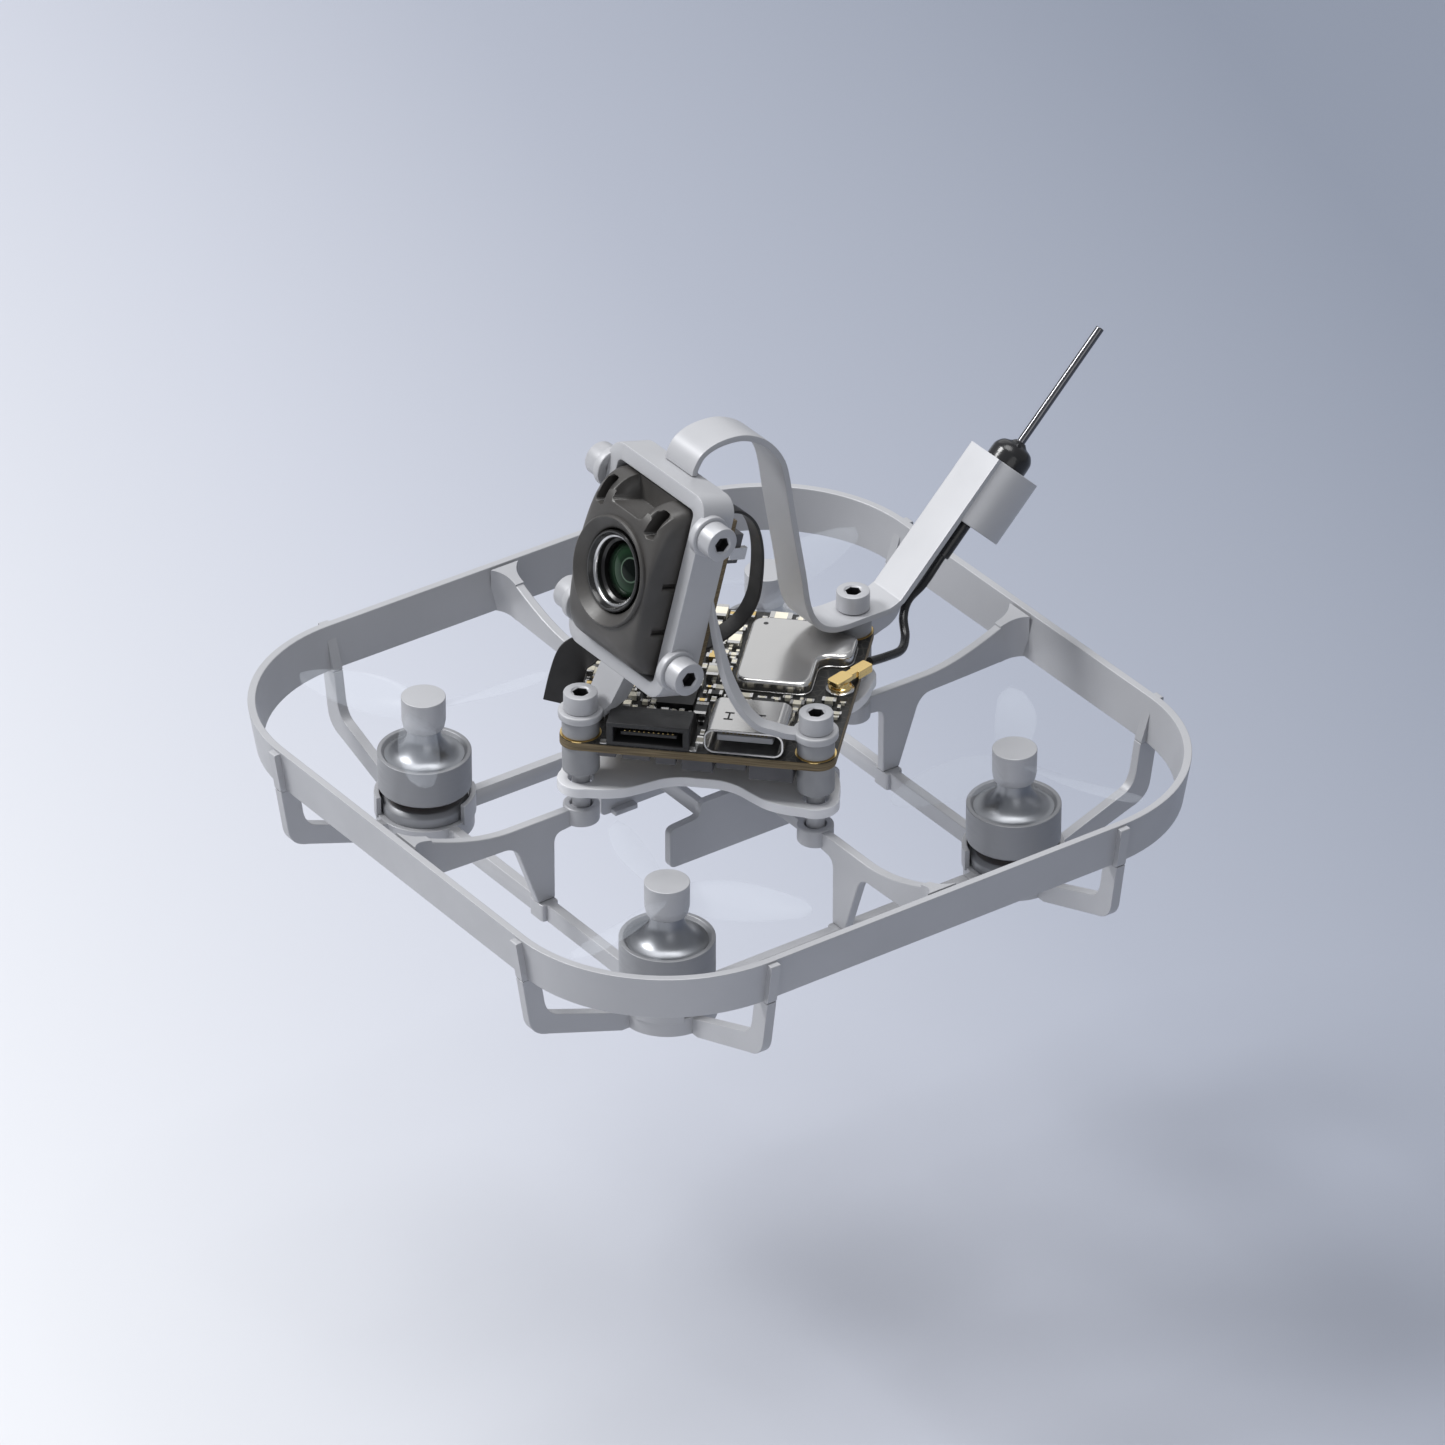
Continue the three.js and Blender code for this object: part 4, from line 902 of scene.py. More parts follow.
def can_rows():
    """A pressed lid with a round shoulder, over a wall that ends in a narrow flange."""
    wall, shoulder = -0.05, 0.42
    levels = [(0.0, BOARD_TOP + 0.02), (0.0, BOARD_TOP + 0.2), (wall, BOARD_TOP + 0.24),
              (wall, CAN_TOP - shoulder)]
    for k in range(1, 6):
        angle = math.radians(18 * k)
        levels.append((wall - shoulder * (1 - math.cos(angle)), CAN_TOP - shoulder * (1 - math.sin(angle))))
    levels.append((-0.75, CAN_TOP))
    return [[(x, y, z) for x, y in can_outline(grow)] for grow, z in levels]


piece("can_lid", moved(loft(can_rows()), ON_BOARD), TIN, "shield_can")
piece("can_mark", moved(prism(circle(0.28, -10.2, 3.6, 20), CAN_TOP - 0.02, CAN_TOP + 0.01), ON_BOARD), CHIP)

USB = {"near": 8.2, "far": 14.8, "left": 0.9, "right": 9.6, "height": 3.0, "wall": 0.28}
USB_MIDDLE = BOARD_TOP + USB["height"] / 2 + 0.05


def usb_outline(inset):
    half = USB["height"] / 2
    return rounded(USB["left"] + inset, USB["right"] - inset, USB_MIDDLE - half + inset,
                   USB_MIDDLE + half - inset, half - 0.3 - inset, 10)


def usb_shell():
    """The oval shell: out along the outside, round the lip and back inside the mouth."""
    far, near, wall = USB["far"], USB["near"], USB["wall"]
    levels = [(0, near), (0, far - 0.12), (0.06, far), (wall - 0.04, far), (wall, far - 0.1),
              (wall, near + 1.2)]
    return loft([[(x, y, z) for y, z in usb_outline(inset)] for inset, x in levels])


def usb_tabs():
    """Two punched cuts on the shell's top, each of two bars with a third across, drawn as dark patches of
    painted shade.
    """
    top = USB_MIDDLE + USB["height"] / 2
    low, high = top - 0.03, top + 0.012
    parts = []
    for y in (3.2, 6.6):
        for x in (11.2, 12.5):
            parts.append(block(x - 0.13, x + 0.13, y - 0.5, y + 0.5, low, high, 0.03))
        parts.append(block(11.2, 12.5, y - 0.1, y + 0.1, low, high, 0.03))
    return merge(*parts)


def usb_tongue():
    return block(9.4, 13.9, 2.2, 8.3, USB_MIDDLE - 0.35, USB_MIDDLE + 0.35, 0.2)


def usb_contacts():
    return merge(*[block(11.4, 13.6, y - 0.13, y + 0.13, USB_MIDDLE + 0.34, USB_MIDDLE + 0.39, 0.04)
                   for y in (2.9 + 0.42 * k for k in range(12))])


piece("usb_shell", moved(usb_shell(), ON_BOARD), TIN, "usb_port")
piece("usb_punched_cuts_shade", moved(usb_tabs(), ON_BOARD), PAINTED_SHADE_BLACK)
piece("usb_tongue", moved(usb_tongue(), ON_BOARD), GROMMET, bevel=0.05, slot="connector_black")
piece("usb_contacts", moved(usb_contacts(), ON_BOARD), GOLD)

PLUG = {"near": 9.6, "far": 14.9, "left": -9.6, "right": -0.6, "height": 2.8}


def video_plug():
    """A block with a sloping back and a slotted mouth, made as four walls, a back and a tongue."""
    low, high = BOARD_TOP, BOARD_TOP + PLUG["height"]
    near, far, left, right = PLUG["near"], PLUG["far"], PLUG["left"], PLUG["right"]
    slope = [(near, low), (far - 2.7, low), (far - 2.7, high - STEP), (near + 1.6, high - STEP),
             (near, low + 1.2)]
    body = upright(slope, right - left - 2 * STEP, (left + right) / 2)
    back = far - 2.8
    walls = [block(back, far, left, right, low, low + 0.45),
             block(back, far, left, right, high - 0.55, high),
             block(back, far - STEP, left - STEP, left + 0.75, low + STEP, high - STEP),
             block(back, far - STEP, right - 0.75, right + STEP, low + STEP, high - STEP),
             block(back, far - 0.6, left + 1.4, right - 1.4, low + 1.05, low + 1.5)]
    return merge(body, *walls)


def plug_contacts():
    back, front, low = PLUG["far"] - 2.4, PLUG["far"] - 0.7, BOARD_TOP + 1.5
    return merge(*[block(back, front, y - 0.1, y + 0.1, low, low + 0.06, 0.03)
                   for y in (-7.7 + 0.52 * k for k in range(11))])


def plug_feet():
    """Solder tabs at the block's two front corners."""
    return merge(*[block(14.0, 14.85, y - 0.4, y + 0.4, BOARD_TOP, BOARD_TOP + 0.14, 0.1)
                   for y in (PLUG["left"] - 0.35, PLUG["right"] + 0.35)])


piece("video_plug_block", moved(video_plug(), ON_BOARD), CHIP, "video_connector", bevel=0.1)
piece("video_plug_contacts", moved(plug_contacts(), ON_BOARD), GOLD)
piece("video_plug_feet", moved(plug_feet(), ON_BOARD), TIN)

COAX = {"x": -0.3, "y": 13.3, "reach": 4.6}


def coax_plug():
    """A round cap pressed on its socket, and a folded barrel that grips the lead."""
    low = BOARD_TOP
    profile = [(0, low + 0.35), (1.3, low + 0.35), (1.3, low + 0.6), (1.0, low + 0.7), (1.0, low + 1.1),
               (0, low + 1.1)]
    cap = lathe(soften(profile, 0.06, closed=False, steps=2), 48)
    barrel = merge(block(-1.35, 1.3, -0.85, 0.85, low + 1.05, low + 1.55, 0.35),
                   block(-2.4, -1.2, -0.5, 0.5, low + 0.75, low + 1.45, 0.1),
                   block(-COAX["reach"], -2.3, -0.72, 0.72, low + 0.5, low + 1.42, 0.2))
    return moved(merge(cap, barrel), turn(-45 + math.degrees(0.22)), shift(COAX["x"], COAX["y"]), ON_BOARD)


def coax_socket():
    ring = lathe([(0.9, BOARD_TOP), (1.55, BOARD_TOP), (1.55, BOARD_TOP + 0.25), (1.2, BOARD_TOP + 0.4),
                  (0.9, BOARD_TOP + 0.4)], 48, closed=True)
    return moved(ring, shift(COAX["x"], COAX["y"]), ON_BOARD)


piece("coax_plug", coax_plug(), GOLD, "antenna_connector", bevel=0.05)
piece("coax_socket", coax_socket(), TIN)

# ---------------------------------------------------------------- small parts soldered to the boards

BUSY = [
    (CAN["far"] - 0.5, CAN["near"] + 0.5, CAN["low"] - 0.5, CAN["high"] + 0.5),
    (CAN["step_far"] - 0.5, CAN["step_near"] + 0.5, CAN["high"], CAN["out"] + 0.5),
    (USB["near"] - 0.4, USB["far"] + 0.4, USB["left"] - 0.15, USB["right"] + 0.3),
    (PLUG["near"] - 0.4, PLUG["far"] + 0.4, PLUG["left"] - 0.9, PLUG["right"] + 0.15),
    (COAX["x"] - 5.0, COAX["x"] + 2.2, COAX["y"] - 2.4, COAX["y"] + 2.4),
]


PART_GAP = 0.12


def is_free(x, y, half_x, half_y, taken):
    reach = max(half_x, half_y)
    if max(abs(x), abs(y)) > BOARD_HALF - 0.45 - reach:
        return False
    if any(math.hypot(x - hx, y - hy) < 2.75 + reach for hx, hy in BOARD_HOLES):
        return False
    if any(x0 - half_x < x < x1 + half_x and y0 - half_y < y < y1 + half_y for x0, x1, y0, y1 in BUSY):
        return False
    return all(abs(x - tx) > half_x + tx_half + PART_GAP or abs(y - ty) > half_y + ty_half + PART_GAP
               for tx, ty, tx_half, ty_half in taken)


def solder_small_parts():
    """A few larger chips, then parts 0.6 to 2.4 mm long at random on a grid, where the board is free."""
    chance = random.Random(7)
    span, grid = BOARD_HALF - 0.6, 0.3
    taken, bodies, ends, chips, pads = [], [], [], [], []
    for x, y, half in [(4.6, -3.6, 2.0), (-5.4, -6.6, 2.6), (5.0, 12.2, 0.95), (5.0, 5.8, 1.1)]:
        if is_free(x, y, half, half, taken):
            taken.append((x, y, half, half))
            chips.append(block(x - half, x + half, y - half, y + half, BOARD_TOP, BOARD_TOP + 0.75, 0.15))
    for long, tries in ((1.2, 60), (0.75, 500), (0.5, 2500), (0.32, 3500)):
        for _ in range(tries):
            x = round(chance.uniform(-span, span) / grid) * grid
            y = round(chance.uniform(-span, span) / grid) * grid
            lies_along = chance.random() < 0.5
            kind = chance.random()
            wide = long * 0.55
            half_x, half_y = (long, wide) if lies_along else (wide, long)
            if not is_free(x, y, half_x, half_y, taken):
                continue
            taken.append((x, y, half_x, half_y))
            height = BOARD_TOP + 0.15 + long * 0.6
            body_x, body_y = (long * 0.6, wide) if lies_along else (wide, long * 0.6)
            body = block(x - body_x, x + body_x, y - body_y, y + body_y, BOARD_TOP, height - 0.02, 0.04)
            (bodies if kind < 0.68 else chips if kind < 0.85 else pads).append(body)
            for end in (-0.8 * long, 0.8 * long):
                ex, ey = (end, 0) if lies_along else (0, end)
                hx, hy = (long * 0.22, wide) if lies_along else (wide, long * 0.22)
                at_x, at_y = x + ex, y + ey
                ends.append(block(at_x - hx, at_x + hx, at_y - hy, at_y + hy, BOARD_TOP, height, 0.04))
    return bodies, chips, ends, pads


small_bodies, small_chips, small_ends, small_pads = solder_small_parts()
piece("board_small_bodies", moved(merge(*small_bodies), ON_BOARD), CREAM)
piece("board_small_chips", moved(merge(*small_chips), ON_BOARD), CHIP)
piece("board_small_ends", moved(merge(*small_ends), ON_BOARD), TIN)
piece("board_small_gold", moved(merge(*small_pads), ON_BOARD), GOLD)


def underside_chips():
    """Chips that hang under the board: a row along one front edge, and a large one in the middle."""
    low, edge = BOARD_LOW.z, BOARD_HALF - 0.2
    chips = [(-9.6, 1.0, 11.4, 0.585), (-6.4, 1.5, 11.0, 0.65), (-3.2, 1.1, 11.3, 0.91),
             (0.2, 1.7, 10.8, 1.43), (3.9, 1.6, 11.0, 0.78), (8.2, 2.4, 10.4, 1.82)]
    parts = [block(inner, edge, along - half, along + half, low - drop, low + STEP, 0.1)
             for along, half, inner, drop in chips]
    parts.append(block(-6, 6, -6, 6, low - 1.1, low, 0.3))
    return merge(*parts)


piece("board_underside_chips", moved(underside_chips(), ON_BOARD), UNDERCHIP, bevel=0.06)


def controller_parts():
    """Chips on both faces of the lower board."""
    top, low = CONTROLLER_HIGH.z, CONTROLLER_LOW.z
    chips = [(0, 0, 3.5), (6.6, 2.2, 1.3), (-6.4, -3.0, 1.6), (2.2, -7.2, 1.2), (-2.0, 7.0, 1.3)]
    above = [block(x - h, x + h, y - h, y + h, top, top + 0.7, 0.15) for x, y, h in chips]
    below = block(-2.6, 2.6, -2.6, 2.6, low - 0.6, low, 0.15)
    return moved(merge(*above, below), ON_BOARD)


piece("controller_chips", controller_parts(), CHIP, bevel=0.06)

# ---------------------------------------------------------------- grommets and stack screws

def grommet_solid():
    low, high, radius = GROMMET_LOW.z, GROMMET_HIGH.z, GROMMET_RADIUS
    waist = 1.45
    profile = [(CLEARANCE, low), (radius, low), (radius, BOARD_LOW.z), (waist, BOARD_LOW.z),
               (waist, BOARD_TOP), (radius, BOARD_TOP), (radius, high), (CLEARANCE, high)]
    return lathe(soften(profile, 0.3, steps=4), 56, closed=True)


SHANK = 1.0
SOCKET_RADIUS = 0.85


def socket_screw(radius, bottom, top, tip):
    """A cylinder head with a broken edge, a hexagon socket and a plain shank, about the Z axis."""
    edge, shank, socket = 0.15, SHANK, SOCKET_RADIUS
    profile = [(0, tip), (shank - 0.2, tip), (shank, tip + 0.2), (shank, bottom), (radius - 0.1, bottom),
               (radius, bottom + 0.1), (radius, top - edge), (radius - edge * 0.3, top - edge * 0.3),
               (radius - edge, top), (socket + 0.2, top), (socket * 1.06, top - 0.12),
               (socket * 1.08, top - 0.13, 1), (socket * 1.08, top - 1.15, 1), (0, top - 1.15)]
    return lathe(profile, 60)


def socket_shade_lining(top):
    """The dark floor and wall lining deep in the socket, which paint the shade in its recess."""
    outer, inner = SOCKET_RADIUS * 1.06, SOCKET_RADIUS * 0.98
    return lathe([(0, top - 1.14), (outer, top - 1.14, 1), (outer, top - 0.16, 1), (inner, top - 0.16, 1),
                  (inner, top - 1.1, 1), (0, top - 1.1)], 60)


for name, degrees in QUARTERS.items():
    hole = turn(degrees) @ Vector((HOLE, 0, 0))
    place = shift(hole.x, hole.y)
    piece(f"grommet_rubber_{name}", moved(grommet_solid(), place), GROMMET, f"stack_grommet_{name}",
          origin=hole)
    screw = socket_screw(HEAD_RADIUS, FOOT_TOP, HEAD_TOP, SCREW_LOW.z)
    piece(f"stack_cap_screw_{name}", moved(screw, turn(12), place), SCREW, f"stack_screw_{name}", origin=hole,
          crease=25)
    piece(f"stack_socket_shade_{name}", moved(socket_shade_lining(HEAD_TOP), turn(12), place), PAINTED_SHADE_BLACK, origin=hole)

# ---------------------------------------------------------------- camera cradle

WINDOW = {"half": 6.9, "sill": 1.6, "lintel": 1.85}
CAMERA_SCREW = {"x": 19.85, "low": 26.99, "high": 42.74, "head": 1.9, "head_top": 11.4, "tip": 6.9,
                "boss": 2.3}
FOOT_RADIUS = 2.45


def cradle_frame():
    """A rounded rectangle of square bar, with every long edge broken."""
    edge = 0.2
    front, back = CRADLE_FRONT, CRADLE_BACK
    outer = lambda inset: rounded(-CRADLE_HALF + inset, CRADLE_HALF - inset, CRADLE_LOW + inset,
                                  CRADLE_HIGH - inset, 2.2 - inset)
    half, low, high = WINDOW["half"], CRADLE_LOW + WINDOW["sill"], CRADLE_HIGH - WINDOW["lintel"]
    inner = lambda inset: rounded(-half - inset, half + inset, low - inset, high + inset, 0.6 + inset)
    levels = []
    for line, order in ((outer, 1), (inner, -1)):
        run = [(edge, back), (edge * 0.3, back + edge * 0.3), (0, back + edge),
               (0, front - edge), (edge * 0.3, front - edge * 0.3), (edge, front)]
        levels += [(line, *step) for step in run[::order]]
    return loft([[(x, y, z) for y, z in line(inset)] for line, inset, x in levels], closed=True)


def across(part, side, height, x):
    """Turns a part drawn about Z to stand out of the cradle's cheek."""
    return moved(part, turn(-90 * side, "X"), shift(x, 0, height))


def cheek_bosses():
    boss = ring(CLEARANCE, CAMERA_SCREW["boss"], CRADLE_HALF - 0.5, CRADLE_HALF + 0.5, 0.18, 48)
    return merge(*[across(boss, side, CAMERA_SCREW[level], CAMERA_SCREW["x"])
                   for side in (1, -1) for level in ("low", "high")])


def foot_ring(degrees):
    foot = ring(CLEARANCE, FOOT_RADIUS, FOOT_BOTTOM, FOOT_TOP, 0.2, 56)
    return moved(foot, shift(HOLE), turn(degrees))


def front_leg():
    """The front foot slopes up under the cradle's sill, and widens as it climbs."""
    sill = TILTED @ Vector((CRADLE_FRONT - 0.3, 0, CRADLE_LOW + 0.7))
    sill_back = TILTED @ Vector((CRADLE_FRONT - 2.4, 0, CRADLE_LOW + 0.7))
    top = [Vector((HOLE - 1.9, 0, FOOT_TOP - 0.05)), Vector((HOLE - 2.6, 0, FOOT_TOP + 0.7)), sill]
    low = [Vector((HOLE - 1.9, 0, FOOT_BOTTOM + STEP)), Vector((HOLE - 4.6, 0, FOOT_TOP + 0.5)), sill_back]
    return loft([[(up.x, half, up.z), (up.x, -half, up.z), (down.x, -half, down.z), (down.x, half, down.z)]
                 for up, down, half in zip(top, low, (1.7, 2.0, 2.2))])


def band_section(half, thick, edge=0.12):
    """The section of a flat band, from half its width and half its thickness."""
    return soften([(-half, -thick), (half, -thick), (half, thick), (-half, thick)], edge, steps=2)


def side_leg(side):
    """A thin band that sweeps down from behind the cheek and broadens into its foot."""
    route = [(7.0, 8.4, 38.4), (7.05, 9.1, 35.8), (7.2, 10.5, 32.8), (7.1, 12.0, 29.8), (6.4, 13.5, 27.1),
             (5.3, 14.9, 25.4), (4.0, 16.0, 24.8), (2.9, 16.6, 24.3), (1.95, 17.0, 24.0)]
    path = smooth_line([(x, side * y, z) for x, y, z in route], 5)
    last = len(path) - 1
    return sweep(path, band_section(0.8, 0.4), lambda i: (1, side * (0.2 + 0.9 * i / last), 0),
                 lambda i: min(1.0, 0.12 + 2.2 * i / last))


cradle = merge(moved(merge(cradle_frame(), cheek_bosses()), TILTED), side_leg(1), side_leg(-1), front_leg(),
               *[foot_ring(d) for name, d in QUARTERS.items() if name != "rear"])
piece("cradle_moulding", cradle, CANOPY, "camera_cradle")

for side_name, side in (("left", 1), ("right", -1)):
    for level in ("low", "high"):
        where = f"{side_name}_{level}"
        head_top = CAMERA_SCREW["head_top"]
        screw = socket_screw(CAMERA_SCREW["head"], CRADLE_HALF + 0.5, head_top, CAMERA_SCREW["tip"])
        place = lambda part: moved(across(part, side, CAMERA_SCREW[level], CAMERA_SCREW["x"]), TILTED)
        piece(f"camera_cap_screw_{where}", place(screw), SCREW, f"camera_screw_{where}", crease=25)
        # The dark lining in each camera screw's socket is painted shade.
        piece(f"camera_socket_{where}", place(socket_shade_lining(head_top)), PAINTED_SHADE_BLACK)

# ---------------------------------------------------------------- bow, antenna arm and sleeve

ARM_ANGLE = math.radians(45.5)
ARM_END = Vector((-35.66, 0, 38.2))
ARM_ALONG = Vector((-math.cos(ARM_ANGLE), 0, math.sin(ARM_ANGLE)))
ARM_BACK = Vector((-math.sin(ARM_ANGLE), 0, -math.cos(ARM_ANGLE)))
SLEEVE = {"outer": 4.2, "inner": 2.75, "length": 7.8, "behind": 4.0}
AXIS_START = ARM_END + ARM_BACK * SLEEVE["behind"]
ANTENNA = {"collar": 2.4, "rod": 0.47, "reach": 18.1, "boot": 0.8, "boot_end": 12.2, "lead": 0.5}
AXIS = Matrix.Translation(AXIS_START) @ ARM_ALONG.to_track_quat("Z", "Y").to_matrix().to_4x4()


def bow_band():
    foot = FOOT_BOTTOM + FOOT_THICK / 2
    hoop = [(4.75, 49.85), (4.55, 50.6), (3.7, 51.8), (2.2, 52.46), (0.2, 52.6), (-1.9, 52.23), (-4.0, 51.1),
            (-5.6, 49.5), (-6.8, 47.5), (-7.4, 45.2), (-7.9, 42.0), (-8.75, 37.2), (-9.6, 32.5),
            (-10.15, 29.0), (-10.9, 26.7), (-12.1, 25.1), (-13.8, 24.2), (-15.6, foot)]
    path = smooth_line([(x, 0, z) for x, z in hoop], 4)
    end = ARM_END + ARM_BACK * FOOT_THICK / 2
    length = (-22.2 - ARM_END.x) / math.cos(ARM_ANGLE)
    start = end - ARM_ALONG * length
    path += [Vector((-18.0, 0, foot)), Vector((-20.2, 0, foot))]
    path += [Vector(p) for p in quadratic((-20.9, 0, foot), (-21.6, 0, foot), tuple(start + ARM_ALONG * 0.6))]
    path += [end]
    return sweep(path, band_section(2.5, 0.37), lambda i: (0, 1, 0))


def sleeve():
    """The tube behind the arm. Where it meets the band, it is cut flat in the band's middle."""
    points, faces = moved(ring(SLEEVE["inner"], SLEEVE["outer"], -SLEEVE["length"], 0, 0.12, 96), AXIS)
    inside = FOOT_THICK / 2
    points = [p + ARM_BACK * max(0.0, inside - (p - ARM_END).dot(ARM_BACK)) for p in points]
    return points, faces


piece("bow_moulding", merge(bow_band(), sleeve()), CANOPY, "canopy_bow")

# ---------------------------------------------------------------- antenna and its lead

def antenna_collar():
    """A glossy collar that swells out of the sleeve and necks down to the rod."""
    radius, low = ANTENNA["collar"], -SLEEVE["length"] + 0.4
    neck = smooth_line([(radius, 0.8), (2.3, 1.5), (1.8, 2.2), (1.05, 2.55), (0.75, 2.8)], 5)
    profile = [(0, low), (radius, low), (radius, 0.7)] + [(p.x, p.y) for p in neck]
    profile += [(0.6, 2.95), (0, 2.95)]
    return moved(lathe(profile, 72), AXIS)


def antenna_rod():
    radius, reach = ANTENNA["rod"], ANTENNA["reach"]
    profile = soften([(0, 2.4), (radius, 2.4), (radius, reach), (0, reach)], 0.12, closed=False, steps=3)
    return moved(lathe(profile, 32), AXIS)


LEAD_ROUTE = [(-27.3, 0.3, 24.3), (-24.6, 1.2, 23.6), (-23.0, 2.5, 22.6), (-22.0, 4.2, 21.3),
              (-20.2, 5.9, 21.1), (-17.6, 6.9, 21.7), (-14.75, 7.55, 22.35)]


def antenna_lead():
    """The cable, and the stiff boot that it leaves the sleeve through."""
    radius, end, top = ANTENNA["boot"], ANTENNA["boot_end"], SLEEVE["length"] - 0.1
    start = [AXIS_START + ARM_ALONG * -d for d in (SLEEVE["length"] + 0.1, end)]
    cable = sweep(smooth_line([*start, *LEAD_ROUTE], 8), circle(ANTENNA["lead"], sides=20))
    boot = lathe(soften([(0, -end), (radius, -end), (radius, -top), (0, -top)], 0.2, closed=False), 32)
    return merge(cable, moved(boot, AXIS))


piece("antenna_collar", antenna_collar(), COLLAR, "antenna_rod", crease=60)
piece("antenna_whip", antenna_rod(), ROD)
piece("antenna_cable", antenna_lead(), LEAD, "antenna_lead", crease=60)

# ---------------------------------------------------------------- camera

CAMERA_HALF = 6.6
CAMERA_LOW = CRADLE_LOW + WINDOW["sill"] + 0.3
CAMERA_HIGH = CRADLE_HIGH - WINDOW["lintel"] - 0.3
FACE = CRADLE_FRONT - 0.5
BEZEL = 6.05
BEZEL_FRONT = FACE + 4.4


def housing_row(x, half, low, high, power, count=96):
    """A section of the housing: square for a large power, round for 2."""
    row = []
    for i in range(count):
        angle = 2 * math.pi * (i + 0.5) / count
        c, s = math.cos(angle), math.sin(angle)
        reach = (abs(c) ** power + abs(s) ** power) ** (-1 / power)
        row.append((x, half * c * reach, (low + high) / 2 + (high - low) / 2 * s * reach))
    return row


def camera_shell():
    """Square behind, swelling forwards into the round lens bezel."""
    rows = [housing_row(CRADLE_FRONT - 3.6, CAMERA_HALF, CAMERA_LOW, CAMERA_HIGH, 16),
            housing_row(FACE, CAMERA_HALF, CAMERA_LOW, CAMERA_HIGH, 16)]
    steps = 18
    for k in range(1, steps + 1):
        t = k / steps
        ease = t ** 1.7
        x = FACE + 3.9 * (1 - (1 - t) ** 1.8)
        half = CAMERA_HALF + (BEZEL - CAMERA_HALF) * ease
        low = CAMERA_LOW + (LENS_HEIGHT - BEZEL - CAMERA_LOW) * ease
        high = CAMERA_HIGH + (LENS_HEIGHT + BEZEL - CAMERA_HIGH) * ease
        rows.append(housing_row(x, half, low, high, 2 + 14 * (1 - t) ** 1.3))
    for x, radius in ((FACE + 3.9, 5.3), (FACE - 1.5, 5.1)):
        rows.append(housing_row(x, radius, LENS_HEIGHT - radius, LENS_HEIGHT + radius, 2))
    return rows


def on_lens_axis(part):
    """Turns a part drawn about Z onto the camera's axis, with Z = 0 at the cradle's back."""
    return moved(part, turn(90, "Y"), shift(CRADLE_BACK, 0, LENS_HEIGHT))


def camera_bezel():
    front = BEZEL_FRONT - CRADLE_BACK
    profile = soften([(4.6, front - 3.6), (BEZEL, front - 1.0), (BEZEL, front - 0.2), (BEZEL - 0.15, front),
                      (5.8, front), (4.7, front - 0.95), (4.6, front - 1.1)], 0.08, steps=3)
    return on_lens_axis(lathe(profile, 96, closed=True))


def lens_barrel():
    """Stepped rings inside the bezel that lead in to the front element."""
    profile = [(0, 1.0), (4.42, 1.0), (4.42, 7.3), (4.3, 7.42), (4.12, 7.42), (3.72, 6.75), (3.6, 6.7),
               (3.5, 6.1), (3.2, 5.9), (3.15, 5.0), (0, 4.9)]
    return on_lens_axis(lathe(profile, 96))


def retaining_ring():
    profile = soften([(3.5, 6.6), (3.82, 6.7), (3.82, 6.98), (3.6, 6.86)], 0.06)
    return on_lens_axis(lathe(profile, 96, closed=True))


def front_element():
    """The domed front glass."""
    angles = [math.radians(9 * k) for k in range(11)]
    dome = [(3.14 * math.sin(a), 5.15 + 1.05 * math.cos(a)) for a in angles]
    return lathe([(0, 4.95)] + dome[::-1][:-1] + [(0, 6.2)], 96)


def camera_cutters():
    """Slots across the top corners, the sunken window between them, and two short cuts in each side."""
    parts = []
    for side in (1, -1):
        parts.append(moved(prism(rounded(-0.72, 0.72, -1.5, 1.5, 0.35, 5), -2.6, 4), FACING,
                           turn(side * -4, "X"), shift(FACE + 2.2, side * 4.6, CAMERA_HIGH - 2.15)))
        for height in (LENS_HEIGHT + 1.0, LENS_HEIGHT - 4.4):
            parts.append(block(FACE + 0.1, FACE + 1.9, side * 6.5 - 0.5, side * 6.5 + 0.5,
                               height - 0.3, height + 0.3, 0.1))
    parts.append(moved(prism(soften([(-2.6, -0.5), (2.6, -0.5), (3.5, 2.4), (-3.5, 2.4)], 0.5), -2.0, 4),
                       FACING, shift(FACE + 2.0, 0, CAMERA_HIGH - 1.9)))
    return merge(*parts)


def cut_from(target, part):
    """Cuts a part out of a piece, and leaves the result as the piece's mesh."""
    cutter = piece("cutter", part, HOUSING, slot="")
    tool = target.modifiers.new("Cut", "BOOLEAN")
    tool.operation = "DIFFERENCE"
    tool.solver = "EXACT"
    tool.use_self = True
    tool.object = cutter
    bpy.context.view_layer.update()
    graph = bpy.context.evaluated_depsgraph_get()
    result = bpy.data.meshes.new_from_object(target.evaluated_get(graph))
    target.modifiers.clear()
    target.data = result
    result.set_sharp_from_angle(angle=math.radians(38))
    flatten(target)
    bpy.data.objects.remove(cutter)


LENS_PLACE = (Matrix.Translation(CENTRE) @ TILTED @ shift(CRADLE_BACK * MM, 0, LENS_HEIGHT * MM)
              @ turn(90, "Y"))
housing = piece("camera_shell", moved(loft(camera_shell()), TILTED), HOUSING, "camera_housing")
cut_from(housing, moved(camera_cutters(), TILTED))
piece("camera_bezel", moved(camera_bezel(), TILTED), HOUSING)
piece("lens_barrel", moved(lens_barrel(), TILTED), BARREL, "camera_lens")
piece("lens_retainer", moved(retaining_ring(), TILTED), STEEL, slot="lens_glass")
lens = piece("lens_front_element", front_element(), GLASS)
lens.matrix_basis = LENS_PLACE


def camera_back():
    return block(CRADLE_BACK - 0.95, CRADLE_BACK - 0.02, -8.3, 8.3, CAMERA_LOW + 0.4, CAMERA_HIGH - 0.4, 0.1)


def camera_back_mask():
    """Black solder mask on the rear face of the camera's board."""
    face = CRADLE_BACK - 0.95
    return block(face - 0.04, face + 0.05, -8.2, 8.2, CAMERA_LOW + 0.5, CAMERA_HIGH - 0.5, 0.1)


